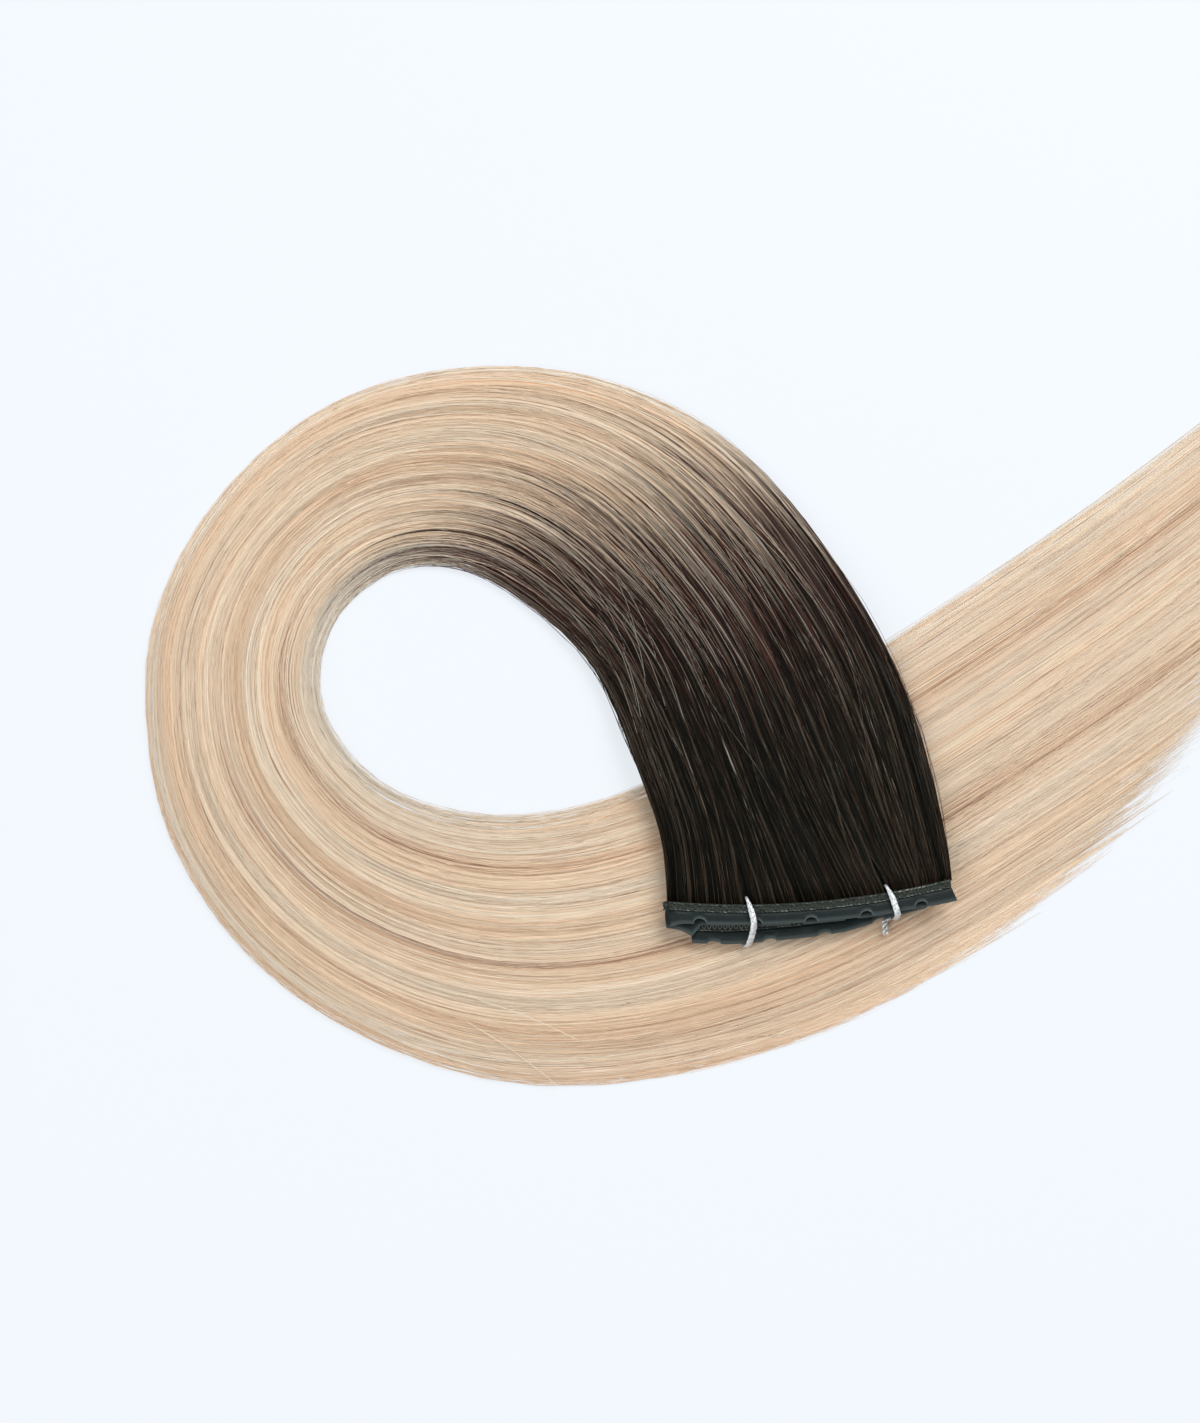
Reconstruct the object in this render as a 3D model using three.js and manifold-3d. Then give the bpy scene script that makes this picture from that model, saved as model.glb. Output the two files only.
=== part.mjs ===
// A hair weft, folded in three, tied, and laid down in one flat loop.
//
// The weft is a long curtain of hair sewn to a track. A perforated tape, folded along its holes,
// is sewn below the track. The sewn edge is folded like a letter into three panels, and two
// flat wire ties hold the panels together. The hair leaves the track, turns once round to the left
// and passes back under the folded edge.
//
// Millimetres, +Z up. The origin is on the table, below the middle of the folded edge. X runs
// along that edge and Y roughly the way the hair leaves it.
import * as THREE from "three";
import { mergeVertices } from "three/addons/utils/BufferGeometryUtils.js";
import Module from "manifold-3d";

const wasm = await Module();
wasm.setup();

// Driving dimensions.
const HAIR_LENGTH = 559; // a 22 inch weft
const FOLDED_WIDTH = 64.5; // one panel of the folded edge
const EDGE_ANGLE = 4.43; // degrees that the folded edge is turned from X
const EDGE_BOW = 2.7; // how far the middle of the edge hangs below its ends
const PANEL_PITCH = 1.7; // height from one folded panel to the next
const LOWEST_PANEL = 6.35; // height of the lowest panel's middle
const TRACK = { width: 2.0, thick: 1.2, roundness: 0.25 };
const TAPE = { width: 2.5, thick: 1.0, roundness: 0.4 };
const HOLE = { radius: 1.5, pitch: 12.5, first: 7.1, overhang: 0.1, sides: 14 };
const SEAM = 0.5; // where the tape starts, across the edge
const SEAM_GAP = 0.3; // between the track and the tape
const ROOT_GAP = 0.4; // between the track and the hair
const ROOT_LAP = 2; // how far the slipped panel's hair runs into the rest
const TIE = { wide: 1.6, thick: 0.9, clear: 0.4, behind: 1.6, slack: 0.3, sides: 8, steps: 36 };
const UNDERLAP = 5.3; // how far the lowest panel stops short of the fold above it
const FOLD_INSET = 1.5; // how far the inner fold stays behind the cut end above it
const STEPS = { panel: 14, fold: 6, roots: 12 };

// Hair that is gathered into locks.
const LOCK_OVERLAP = 0.12; // share of a lock's width that runs into its neighbour
const LOCK_STAGGER = 0.15; // every other lock lies this much higher
const SHOULDER = 0.72; // height of a lock's sides, as a share of its crown
const SIDE_SHOULDER = 0.35; // the same on the two free sides of the hair
const CROWN_HALF = 0.22; // half of a lock's flat crown, as a share of its width
const TIP_LENGTH = 34; // stretch over which a lock thins out
const TIP = { width: 0.3, thick: 0.22 };
const STATIONS_PER_ROW = 2;
const BOW_FADES_AT = 0.1; // share of the way round at which the edge's bow has gone

// One row for each section across the hair, from the sewn edge to the tips: its inner and outer
// end, the height of its underside at both ends, and its thickness.
const SECTIONS = [
  { inX: -32.0, inY: 0.9, outX: 32.2, outY: 5.9, inLift: 5.75, outLift: 5.75, thick: 4.6 },
  { inX: -33.1, inY: 14.4, outX: 30.9, outY: 16.5, inLift: 5.0, outLift: 5.1, thick: 4.7 },
  { inX: -36.9, inY: 26.7, outX: 27.9, outY: 32.0, inLift: 4.3, outLift: 4.5, thick: 4.7 },
  { inX: -42.1, inY: 39.4, outX: 22.4, outY: 50.8, inLift: 3.3, outLift: 4.4, thick: 4.7 },
  { inX: -48.8, inY: 52.6, outX: 14.2, outY: 68.6, inLift: 1.7, outLift: 3.6, thick: 4.7 },
  { inX: -57.5, inY: 63.8, outX: 3.0, outY: 87.0, inLift: 0.5, outLift: 1.5, thick: 4.8 },
  { inX: -69.2, inY: 74.0, outX: -14.0, outY: 106.9, inLift: 0, outLift: 0.3, thick: 5.0 },
  { inX: -80.5, inY: 79.2, outX: -38.3, outY: 121.8, inLift: 0, outLift: 0, thick: 5.3 },
  { inX: -91.2, inY: 79.4, outX: -70.6, outY: 127.9, inLift: 0, outLift: 0, thick: 5.8 },
  { inX: -100.0, inY: 75.8, outX: -108.0, outY: 119.7, inLift: 0, outLift: 0, thick: 6.4 },
  { inX: -107.3, inY: 68.7, outX: -136.1, outY: 96.1, inLift: 0, outLift: 0, thick: 6.8 },
  { inX: -111.3, inY: 59.3, outX: -149.7, outY: 69.9, inLift: 0, outLift: 0, thick: 6.9 },
  { inX: -111.9, inY: 49.9, outX: -152.1, outY: 47.6, inLift: 0, outLift: 0, thick: 6.8 },
  { inX: -108.7, inY: 40.6, outX: -147.6, outY: 20.9, inLift: 0, outLift: 0, thick: 6.4 },
  { inX: -100.3, inY: 30.8, outX: -132.4, outY: -5.5, inLift: 0, outLift: 0, thick: 5.8 },
  { inX: -88.4, inY: 24.1, outX: -108.2, outY: -25.7, inLift: 0, outLift: 0, thick: 5.2 },
  { inX: -71.2, inY: 21.0, outX: -76.5, outY: -38.3, inLift: 0, outLift: 0, thick: 4.6 },
  { inX: -51.7, inY: 23.3, outX: -43.8, outY: -40.1, inLift: 0, outLift: 0, thick: 4.1 },
  { inX: -32.2, inY: 30.7, outX: -11.0, outY: -33.8, inLift: 0, outLift: 0, thick: 4.0 },
  { inX: -6.8, inY: 45.0, outX: 19.3, outY: -22.3, inLift: 0, outLift: 0, thick: 4.0 },
  { inX: 20.6, inY: 62.6, outX: 50.7, outY: -4.7, inLift: 0, outLift: 0, thick: 4.0 },
  { inX: 48.6, inY: 81.1, outX: 80.9, outY: 14.8, inLift: 0, outLift: 0, thick: 3.8 },
  { inX: 75.6, inY: 100.2, outX: 109.1, outY: 35.6, inLift: 0, outLift: 0, thick: 3.5 },
  { inX: 103.0, inY: 121.0, outX: 136.0, outY: 60.0, inLift: 0, outLift: 0, thick: 3.2 },
  { inX: 130.5, inY: 142.0, outX: 161.0, outY: 87.0, inLift: 0, outLift: 0, thick: 2.9 },
  { inX: 158.0, inY: 163.0, outX: 185.0, outY: 116.0, inLift: 0, outLift: 0, thick: 2.6 },
];

// One row for each lock, from the inside of the loop to the outside: its share of the width, the
// height of its crown, and how far it reaches along its own way, as a share of the hair's length.
const LOCKS = [
  { share: 0.85, crown: 0.8, reach: 0.86 },
  { share: 1.1, crown: 0.96, reach: 0.89 },
  { share: 0.9, crown: 0.9, reach: 0.87 },
  { share: 1.15, crown: 1.0, reach: 0.91 },
  { share: 0.95, crown: 0.93, reach: 0.93 },
  { share: 1.1, crown: 1.0, reach: 0.92 },
  { share: 0.9, crown: 0.92, reach: 0.98 },
  { share: 1.1, crown: 0.97, reach: 1.0 },
  { share: 0.85, crown: 0.8, reach: 0.97 },
];

// How far the lowest panel has slipped out in front of the others, at places along the edge.
const SLIP = [
  { along: -27, out: 4.0 },
  { along: -18, out: 3.9 },
  { along: -8, out: 3.2 },
  { along: 8, out: 2.4 },
  { along: 19, out: 0.5 },
  { along: 29, out: 0 },
];

// The two ties. Each comes out of the hair, crosses the edge and goes round its rim; a twist is
// where the wire's two ends are wound together in front of the rim.
const TIES = [
  { name: "tie_left", partAt: -14.0, overAt: -12.5, rimAt: -13.2, underAt: -15.0, twistAt: null },
  { name: "tie_right", partAt: 17.6, overAt: 19.2, rimAt: 19.6, underAt: 18.6, twistAt: 16.5 },
];
const PARTING = { width: 2.8, end: 0.5, length: 9.0, inset: 0.2 };
const TWIST = { wire: 0.72, lead: 2.0, length: 3.4, turns: 2.2, rise: 0.35, sides: 6, steps: 18 };
const WOUND = { loose: 0.12, tight: 0.42, from: 0.6, to: 1.2 }; // spread, and where the winding starts

// Heights that follow from the dimensions above, from the table up.
const panelHeight = (fromTop) => LOWEST_PANEL + (2 - fromTop) * PANEL_PITCH;
const EDGE_BOTTOM = panelHeight(2) - TRACK.thick / 2;
const EDGE_TOP = panelHeight(0) + TRACK.thick / 2;

// Places across the edge, from the tape's rim to the track's side towards the hair.
const RIM = SEAM - TAPE.width;
const TRACK_FOOT = SEAM + SEAM_GAP;
const TRACK_TOP = TRACK_FOOT + TRACK.width;

const COLOURS = { hair: 0xcdb08a, track: 0x23282a, tape: 0x2c3436, tie: 0xc9cbcd };

// A closed mesh through rings of points that all have the same number of points. Open lofts get
// flat ends; a ring's points run anticlockwise as seen from the next ring.
function loft(rings, closed = false) {
  const size = rings[0].length;
  const positions = rings.flat().flatMap((p) => [p.x, p.y, p.z]);
  const index = [];
  const spans = closed ? rings.length : rings.length - 1;
  for (let r = 0; r < spans; r++) {
    const here = r * size;
    const next = ((r + 1) % rings.length) * size;
    for (let k = 0; k < size; k++) {
      const after = (k + 1) % size;
      index.push(here + k, here + after, next + after);
      index.push(here + k, next + after, next + k);
    }
  }
  if (!closed) {
    const last = (rings.length - 1) * size;
    for (let k = 1; k < size - 1; k++) {
      index.push(0, k + 1, k);
      index.push(last, last + k, last + k + 1);
    }
  }
  const geometry = new THREE.BufferGeometry();
  geometry.setAttribute("position", new THREE.Float32BufferAttribute(positions, 3));
  geometry.setIndex(index);
  return geometry;
}

function solidFrom(geometry) {
  const bare = geometry.clone();
  bare.deleteAttribute("normal");
  bare.deleteAttribute("uv");
  const merged = mergeVertices(bare, 1e-4);
  const mesh = new wasm.Mesh({
    numProp: 3,
    vertProperties: new Float32Array(merged.attributes.position.array),
    triVerts: new Uint32Array(merged.index.array),
  });
  const solid = new wasm.Manifold(mesh);
  return solid.volume() < 0 ? solidFrom(turnedOut(merged)) : solid;
}

// The same mesh with every face turned round.
function turnedOut(geometry) {
  const turned = geometry.clone();
  const index = Array.from(turned.index.array);
  for (let i = 0; i < index.length; i += 3) {
    [index[i + 1], index[i + 2]] = [index[i + 2], index[i + 1]];
  }
  turned.setIndex(index);
  return turned;
}

function geometryFrom(solid) {
  const mesh = solid.getMesh();
  const geometry = new THREE.BufferGeometry();
  const positions = new Float32Array(mesh.numVert * 3);
  for (let i = 0; i < mesh.numVert; i++) {
    const start = i * mesh.numProp;
    positions.set(mesh.vertProperties.subarray(start, start + 3), i * 3);
  }
  geometry.setAttribute("position", new THREE.BufferAttribute(positions, 3));
  geometry.setIndex(new THREE.BufferAttribute(mesh.triVerts, 1));
  geometry.computeVertexNormals();
  return geometry;
}

const fuse = (solids) => solids.reduce((whole, solid) => whole.add(solid));
const cutAway = (solid, cutters) => cutters.reduce((left, cutter) => left.subtract(cutter), solid);

// A column's value in a table of rows, at a place between its rows.
function tableValue(rows, column, place) {
  const at = THREE.MathUtils.clamp(place, 0, rows.length - 1);
  const row = Math.min(Math.floor(at), rows.length - 2);
  return THREE.MathUtils.lerp(rows[row][column], rows[row + 1][column], at - row);
}

// The folded edge, in its own frame: along the edge, across it towards the hair, and up.

// The edge hangs in a shallow bow between its two ends.
const bow = (along) => EDGE_BOW * ((2 * along / FOLDED_WIDTH) ** 2 - 1);

function slip(along) {
  const row = SLIP.findIndex((r) => r.along >= along);
  if (row < 0) return SLIP[SLIP.length - 1].out;
  if (row === 0) return SLIP[0].out;
  const share = (along - SLIP[row - 1].along) / (SLIP[row].along - SLIP[row - 1].along);
  return THREE.MathUtils.lerp(SLIP[row - 1].out, SLIP[row].out, share);
}

// Places along the strip as it lies folded: top panel, fold, middle panel, fold, lowest panel.
// Turn is how far the strip's face has turned over, and run is the length from the cut end.
function foldedRun() {
  const half = FOLDED_WIDTH / 2;
  const radius = PANEL_PITCH / 2;
  const leftFold = -half + radius;
  const rightFold = half - FOLD_INSET - radius;
  const places = [];
  const panel = (from, to, height, turn, slips) => {
    for (let i = 0; i <= STEPS.panel; i++) {
      const along = THREE.MathUtils.lerp(from, to, i / STEPS.panel);
      places.push({ along, height, turn, out: slips ? slip(along) : 0 });
    }
  };
  const fold = (centre, height, side, turnFrom, out) => {
    for (let i = 1; i < STEPS.fold; i++) {
      const angle = Math.PI * (i / STEPS.fold);
      places.push({
        along: centre + side * radius * Math.sin(angle),
        height: height + radius * Math.cos(angle),
        turn: turnFrom - side * angle,
        out,
      });
    }
  };
  panel(half, leftFold, panelHeight(0), 0, false);
  fold(leftFold, (panelHeight(0) + panelHeight(1)) / 2, -1, 0, 0);
  panel(leftFold, rightFold, panelHeight(1), Math.PI, false);
  fold(rightFold, (panelHeight(1) + panelHeight(2)) / 2, 1, Math.PI, slip(rightFold) / 2);
  panel(rightFold, -half + UNDERLAP, panelHeight(2), 0, true);
  let run = 0;
  return places.map((place, i) => {
    const before = places[Math.max(0, i - 1)];
    run += Math.hypot(place.along - before.along, place.height - before.height);
    return { ...place, run };
  });
}
const RUN = foldedRun();

// A strip with the given section, swept along the folded run. A section point is its distance
// across the edge and its height over the strip's middle.
function foldedStrip(section) {
  const rings = RUN.map(({ along, height, turn, out }) =>
    section.map(([across, over]) => {
      const at = along + over * Math.sin(turn);
      return new THREE.Vector3(at, across - out + bow(along), height + over * Math.cos(turn));
    }),
  );
  return loft(rings);
}

function buildTrack() {
  const [foot, top] = [TRACK_FOOT, TRACK_TOP];
  const half = TRACK.thick / 2;
  const soft = TRACK.roundness;
  const section = [
    [top - soft, half],
    [foot + soft, half],
    [foot, half - soft],
    [foot, soft - half],
    [foot + soft, -half],
    [top - soft, -half],
    [top, soft - half],
    [top, half - soft],
  ];
  return geometryFrom(solidFrom(foldedStrip(section)));
}

// The tape is folded along its row of holes, so each hole shows as a half-round notch.
function buildTape() {
  const half = TAPE.thick / 2;
  const soft = TAPE.roundness;
  const section = [
    [SEAM, half],
    [RIM + soft, half],
    [RIM, half - soft],
    [RIM, soft - half],
    [RIM + soft, -half],
    [SEAM, -half],
  ];
  const notches = [];
  const length = RUN[RUN.length - 1].run;
  for (let run = HOLE.first; run < length - HOLE.radius; run += HOLE.pitch) {
    const next = RUN.findIndex((place) => place.run >= run);
    const share = (run - RUN[next - 1].run) / (RUN[next].run - RUN[next - 1].run);
    const along = THREE.MathUtils.lerp(RUN[next - 1].along, RUN[next].along, share);
    const height = RUN[next].height;
    const depth = TAPE.thick * 1.5;
    const notch = new THREE.CylinderGeometry(HOLE.radius, HOLE.radius, depth, HOLE.sides);
    notch.rotateX(Math.PI / 2);
    notch.translate(along, RIM + HOLE.overhang + bow(along) - RUN[next].out, height);
    notches.push(solidFrom(notch));
  }
  return geometryFrom(cutAway(solidFrom(foldedStrip(section)), notches));
}

// A ring of points round a place on a flat wire, whose width lies along the edge.
function wireRing(place, tangent, wide, thick, sides) {
  const across = new THREE.Vector3(1, 0, 0);
  const over = new THREE.Vector3().crossVectors(tangent, across).normalize();
  const side = new THREE.Vector3().crossVectors(over, tangent).normalize();
  return Array.from({ length: sides }, (_, k) => {
    const angle = (2 * Math.PI * k) / sides;
    return place
      .clone()
      .addScaledVector(side, (Math.cos(angle) * wide) / 2)
      .addScaledVector(over, (Math.sin(angle) * thick) / 2);
  });
}

// A tie runs once round the folded edge: up through the hair behind the track, over the top panel,
// down past the rims and back below the lowest panel.
function buildTie({ partAt, overAt, rimAt, underAt, twistAt }) {
  const clear = TIE.clear + TIE.thick / 2;
  const slack = TIE.slack;
  const over = EDGE_TOP + clear;
  const under = EDGE_BOTTOM - clear;
  const behind = TRACK_TOP + TIE.behind;
  const topRim = RIM - 2 * slack;
  const lowRim = RIM - slip(underAt) - clear - slack / 2;
  const corners = [
    { along: partAt, across: behind, height: panelHeight(1) },
    { along: partAt, across: behind - slack, height: over - slack },
    { along: (partAt + overAt) / 2, across: TRACK_TOP / 2, height: over },
    { along: overAt, across: (SEAM + RIM) / 2, height: over },
    { along: rimAt, across: topRim, height: over - 2 * slack },
    { along: (rimAt + underAt) / 2, across: lowRim, height: panelHeight(2) + slack },
    { along: underAt, across: lowRim + clear, height: under + slack },
    { along: (underAt + partAt) / 2, across: 0, height: under },
    { along: partAt, across: behind - slack, height: under + slack },
  ];
  const points = corners.map(({ along, across, height }) => {
    return new THREE.Vector3(along, across + bow(along), height);
  });
  const curve = new THREE.CatmullRomCurve3(points, true, "centripetal");
  const rings = Array.from({ length: TIE.steps }, (_, i) => {
    const at = i / TIE.steps;
    const [place, tangent] = [curve.getPointAt(at), curve.getTangentAt(at)];
    return wireRing(place, tangent, TIE.wide, TIE.thick, TIE.sides);
  });
  const loop = solidFrom(loft(rings, true));
  if (twistAt === null) return geometryFrom(loop);
  return geometryFrom(fuse([loop, ...twistedEnds(underAt, twistAt, lowRim, under)]));
}

// The two ends of a tie: they leave its loop below the edge and are wound round each other where
// they stick out in front of the rim.
function twistedEnds(leaveAt, twistAt, rim, height) {
  const length = TWIST.lead + TWIST.length;
  const start = rim + bow(leaveAt) + TWIST.lead;
  return [0, Math.PI].map((phase) => {
    const points = Array.from({ length: TWIST.steps + 1 }, (_, i) => {
      const share = i / TWIST.steps;
      const leads = (share * length) / TWIST.lead;
      const wound = THREE.MathUtils.smoothstep(leads, WOUND.from, WOUND.to);
      const angle = phase + 2 * Math.PI * TWIST.turns * share;
      const spread = THREE.MathUtils.lerp(WOUND.loose, WOUND.tight, wound);
      return new THREE.Vector3(
        THREE.MathUtils.lerp(leaveAt, twistAt, wound) + Math.cos(angle) * spread,
        start - length * share,
        height + Math.sin(angle) * spread + TWIST.rise * wound,
      );
    });
    const curve = new THREE.CatmullRomCurve3(points);
    const rings = points.map((_, i) => {
      const at = i / TWIST.steps;
      const [place, tangent] = [curve.getPoint(at), curve.getTangent(at)];
      return wireRing(place, tangent, TWIST.wire, TWIST.wire, TWIST.sides);
    });
    return solidFrom(loft(rings));
  });
}

// The hair.

const sideCurve = (x, y, lift) =>
  new THREE.CatmullRomCurve3(SECTIONS.map((s) => new THREE.Vector3(s[x], s[y], s[lift])));
const INNER_SIDE = sideCurve("inX", "inY", "inLift");
const OUTER_SIDE = sideCurve("outX", "outY", "outLift");
const TO_EDGE = new THREE.Matrix4().makeRotationZ(THREE.MathUtils.degToRad(EDGE_ANGLE));
const AWAY_FROM_EDGE = new THREE.Vector3(0, 1, 0).transformDirection(TO_EDGE);

// A place on the hair's underside: way is the share of the whole way round, and across runs from 0
// on the inside of the loop to 1 on the outside. At the sewn edge the hair follows the edge's bow.
function hairPlace(way, across) {
  const place = INNER_SIDE.getPoint(way).lerp(OUTER_SIDE.getPoint(way), across);
  const fades = Math.max(0, 1 - way / BOW_FADES_AT) ** 2;
  place.z = Math.max(0, place.z);
  return place.addScaledVector(AWAY_FROM_EDGE, bow((across - 0.5) * FOLDED_WIDTH) * fades);
}

// Stations along one lock, up to where the lock has run its own length.
function lockStations(across, reach) {
  const steps = STATIONS_PER_ROW * (SECTIONS.length - 1);
  const stations = [{ way: 0, run: 0 }];
  let last = hairPlace(0, across);
  for (let i = 1; i <= steps; i++) {
    const way = i / steps;
    const place = hairPlace(way, across);
    const before = stations[stations.length - 1];
    const run = before.run + place.distanceTo(last);
    if (run >= reach) {
      const share = (reach - before.run) / (run - before.run);
      stations.push({ way: THREE.MathUtils.lerp(before.way, way, share), run: reach });
      break;
    }
    stations.push({ way, run });
    last = place;
  }
  return stations;
}

// One lock: a flat-bottomed strip with a raised crown, which thins out to its tip.
function buildLock(number, from, to) {
  const { crown, reach } = LOCKS[number];
  const middle = (from + to) / 2;
  const half = (to - from) * (0.5 + LOCK_OVERLAP);
  const innerShoulder = number === 0 ? SIDE_SHOULDER : SHOULDER;
  const outerShoulder = number === LOCKS.length - 1 ? SIDE_SHOULDER : SHOULDER;
  const raised = number % 2 ? 0 : LOCK_STAGGER;
  const stations = lockStations(middle, reach * HAIR_LENGTH);
  const end = stations[stations.length - 1].run;
  const rings = stations.map(({ way, run }) => {
    const thin = THREE.MathUtils.smoothstep(end - run, 0, TIP_LENGTH);
    const wide = half * THREE.MathUtils.lerp(TIP.width, 1, thin);
    const flat = wide * (CROWN_HALF / 0.5);
    const thick = tableValue(SECTIONS, "thick", way * (SECTIONS.length - 1));
    const height = crown * thick * THREE.MathUtils.lerp(TIP.thick, 1, thin);
    const outline = [
      [-wide, 0],
      [wide, 0],
      [wide, height * outerShoulder],
      [flat, height],
      [-flat, height],
      [-wide, height * innerShoulder],
    ];
    return outline.map(([across, up]) => {
      const place = hairPlace(way, THREE.MathUtils.clamp(middle + across, 0, 1));
      place.z += raised + up * (1 - raised / thick);
      return place;
    });
  });
  return solidFrom(loft(rings));
}

// The lowest panel has slipped forward, so a strip of its hair runs on below the other panels.
function buildSlippedRoots() {
  const from = -FOLDED_WIDTH / 2 + UNDERLAP;
  const to = FOLDED_WIDTH / 2 - FOLD_INSET - PANEL_PITCH;
  const half = TAPE.thick / 2;
  const height = panelHeight(2);
  const rings = Array.from({ length: STEPS.roots + 1 }, (_, i) => {
    const along = THREE.MathUtils.lerp(from, to, i / STEPS.roots);
    const front = TRACK_TOP + ROOT_GAP - slip(along) + bow(along);
    const back = TRACK_TOP + ROOT_LAP + bow(along);
    return [[front, -half], [back, -half], [back, half], [front, half]].map(
      ([across, over]) => new THREE.Vector3(along, across, height + over),
    );
  });
  return solidFrom(loft(rings).applyMatrix4(TO_EDGE));
}

// The wedge of space where a tie parts the hair.
function partingCutter({ partAt }) {
  const near = PARTING.width / 2;
  const far = PARTING.end / 2;
  const outline = new THREE.Shape();
  outline.moveTo(-near, -PARTING.length);
  outline.lineTo(near, -PARTING.length);
  outline.lineTo(near, PARTING.length / 3);
  outline.lineTo(far, PARTING.length);
  outline.lineTo(-far, PARTING.length);
  outline.lineTo(-near, PARTING.length / 3);
  const cutter = new THREE.ExtrudeGeometry(outline, { depth: EDGE_TOP, bevelEnabled: false });
  cutter.translate(partAt, TRACK_TOP + bow(partAt), EDGE_BOTTOM - PARTING.inset);
  return solidFrom(cutter.applyMatrix4(TO_EDGE));
}

function buildHair() {
  const total = LOCKS.reduce((sum, lock) => sum + lock.share, 0);
  const locks = [buildSlippedRoots()];
  let from = 0;
  LOCKS.forEach((lock, number) => {
    const to = from + lock.share / total;
    locks.push(buildLock(number, from, to));
    from = to;
  });
  return geometryFrom(cutAway(fuse(locks), TIES.map(partingCutter)));
}

function piece(name, geometry, colour, roughness, metalness = 0) {
  const material = new THREE.MeshStandardMaterial({ color: colour, roughness, metalness });
  const mesh = new THREE.Mesh(geometry, material);
  mesh.name = name;
  return mesh;
}

const sewnEdge = new THREE.Group();
sewnEdge.rotation.z = THREE.MathUtils.degToRad(EDGE_ANGLE);
sewnEdge.add(piece("track", buildTrack(), COLOURS.track, 0.8));
sewnEdge.add(piece("tape", buildTape(), COLOURS.tape, 0.55));
for (const tie of TIES) {
  sewnEdge.add(piece(tie.name, buildTie(tie), COLOURS.tie, 0.3, 0.8));
}

const weft = new THREE.Group();
weft.add(piece("hair", buildHair(), COLOURS.hair, 0.5));
weft.add(sewnEdge);

export default weft;
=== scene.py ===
# %% [markdown]
# # A hair weft laid in a loop
# A weft is a curtain of hair sewn to a narrow track. This one has been folded in three along the
# track, tied, and laid down in one flat loop. Hair could be made with a particle system or with
# curves, but here every strand is a thin closed tube in an ordinary mesh, so that the strands
# survive any export and can be coloured along their length.

# %% Load the frame
import math

import bpy
import numpy as np
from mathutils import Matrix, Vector


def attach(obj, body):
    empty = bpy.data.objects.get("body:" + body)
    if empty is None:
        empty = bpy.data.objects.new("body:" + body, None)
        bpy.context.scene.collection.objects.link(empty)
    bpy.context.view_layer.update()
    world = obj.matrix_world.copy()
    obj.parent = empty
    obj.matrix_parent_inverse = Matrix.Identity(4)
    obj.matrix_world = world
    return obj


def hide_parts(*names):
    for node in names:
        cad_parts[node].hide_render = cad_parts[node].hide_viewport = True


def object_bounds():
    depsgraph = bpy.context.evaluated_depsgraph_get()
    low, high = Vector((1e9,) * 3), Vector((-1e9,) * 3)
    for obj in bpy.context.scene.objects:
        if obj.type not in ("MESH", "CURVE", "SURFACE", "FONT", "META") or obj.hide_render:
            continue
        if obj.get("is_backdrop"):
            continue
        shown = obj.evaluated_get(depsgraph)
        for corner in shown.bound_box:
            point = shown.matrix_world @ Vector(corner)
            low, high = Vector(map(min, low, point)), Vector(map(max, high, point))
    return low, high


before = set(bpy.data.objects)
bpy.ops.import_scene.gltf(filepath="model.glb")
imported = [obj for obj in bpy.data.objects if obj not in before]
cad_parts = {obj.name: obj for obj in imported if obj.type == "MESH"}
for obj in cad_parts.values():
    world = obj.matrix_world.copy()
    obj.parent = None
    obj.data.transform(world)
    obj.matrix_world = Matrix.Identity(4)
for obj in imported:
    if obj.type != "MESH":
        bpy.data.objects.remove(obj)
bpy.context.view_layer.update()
MM = 0.001
print("solids:", sorted(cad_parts))

# %% [markdown]
# ## Camera
# The picture was taken from almost straight above. One pixel of the 1200 by 1423 frame covers
# 0.231 mm of the table, which fixes the lens once the distance is chosen. The camera could be
# turned by hand, but aiming it at a point keeps that point in the middle of the picture.

# %% Place the camera
PHOTO_HEIGHT, MM_PER_PIXEL = 1423, 0.231
SENSOR = 36
CAMERA_ELEVATION = math.radians(80)
CAMERA_DISTANCE = 740 * MM
AIM = Vector((-47.15, 45.43, 0)) * MM

looking = Vector((0, math.cos(CAMERA_ELEVATION), -math.sin(CAMERA_ELEVATION)))
camera_data = bpy.data.cameras.new("camera")
camera_data.sensor_width = SENSOR
camera_data.lens = SENSOR * CAMERA_DISTANCE / (PHOTO_HEIGHT * MM_PER_PIXEL * MM)
camera = bpy.data.objects.new("camera", camera_data)
camera.location = AIM - looking * CAMERA_DISTANCE
camera.rotation_euler = looking.to_track_quat("-Z", "Y").to_euler()
bpy.context.scene.collection.objects.link(camera)
bpy.context.scene.camera = camera
print("lens", round(camera_data.lens, 2), "mm")

# %% [markdown]
# ## Floor and light
# The weft lies on a plain pale surface in soft light that comes from all round, with a broad
# lamp behind and to the right. Hair shines where it runs across the direction of the light, so
# that lamp brings out the bend of the loop and leaves the straight roots dark. The floor glows a
# little, so that it stays evenly pale while the hair keeps its shading.

# %% Floor
FLOOR_HALF_SIZE, FLOOR_DROP = 20.0, 0.2 * MM


def srgb(red, green, blue):
    """A colour given as 0 to 255 screen values, as the linear values that shaders use."""
    screen = np.array([red, green, blue]) / 255
    linear = np.where(screen <= 0.04045, screen / 12.92, ((screen + 0.055) / 1.055) ** 2.4)
    return (*linear, 1.0)


def new_material(name, constants):
    """A material, its tree and its shader, with the constants set on the shader's sockets."""
    material = bpy.data.materials.new(name)
    material.use_nodes = True
    shader = material.node_tree.nodes["Principled BSDF"]
    for socket, value in constants.items():
        shader.inputs[socket].default_value = value
    return material, material.node_tree, shader


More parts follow.
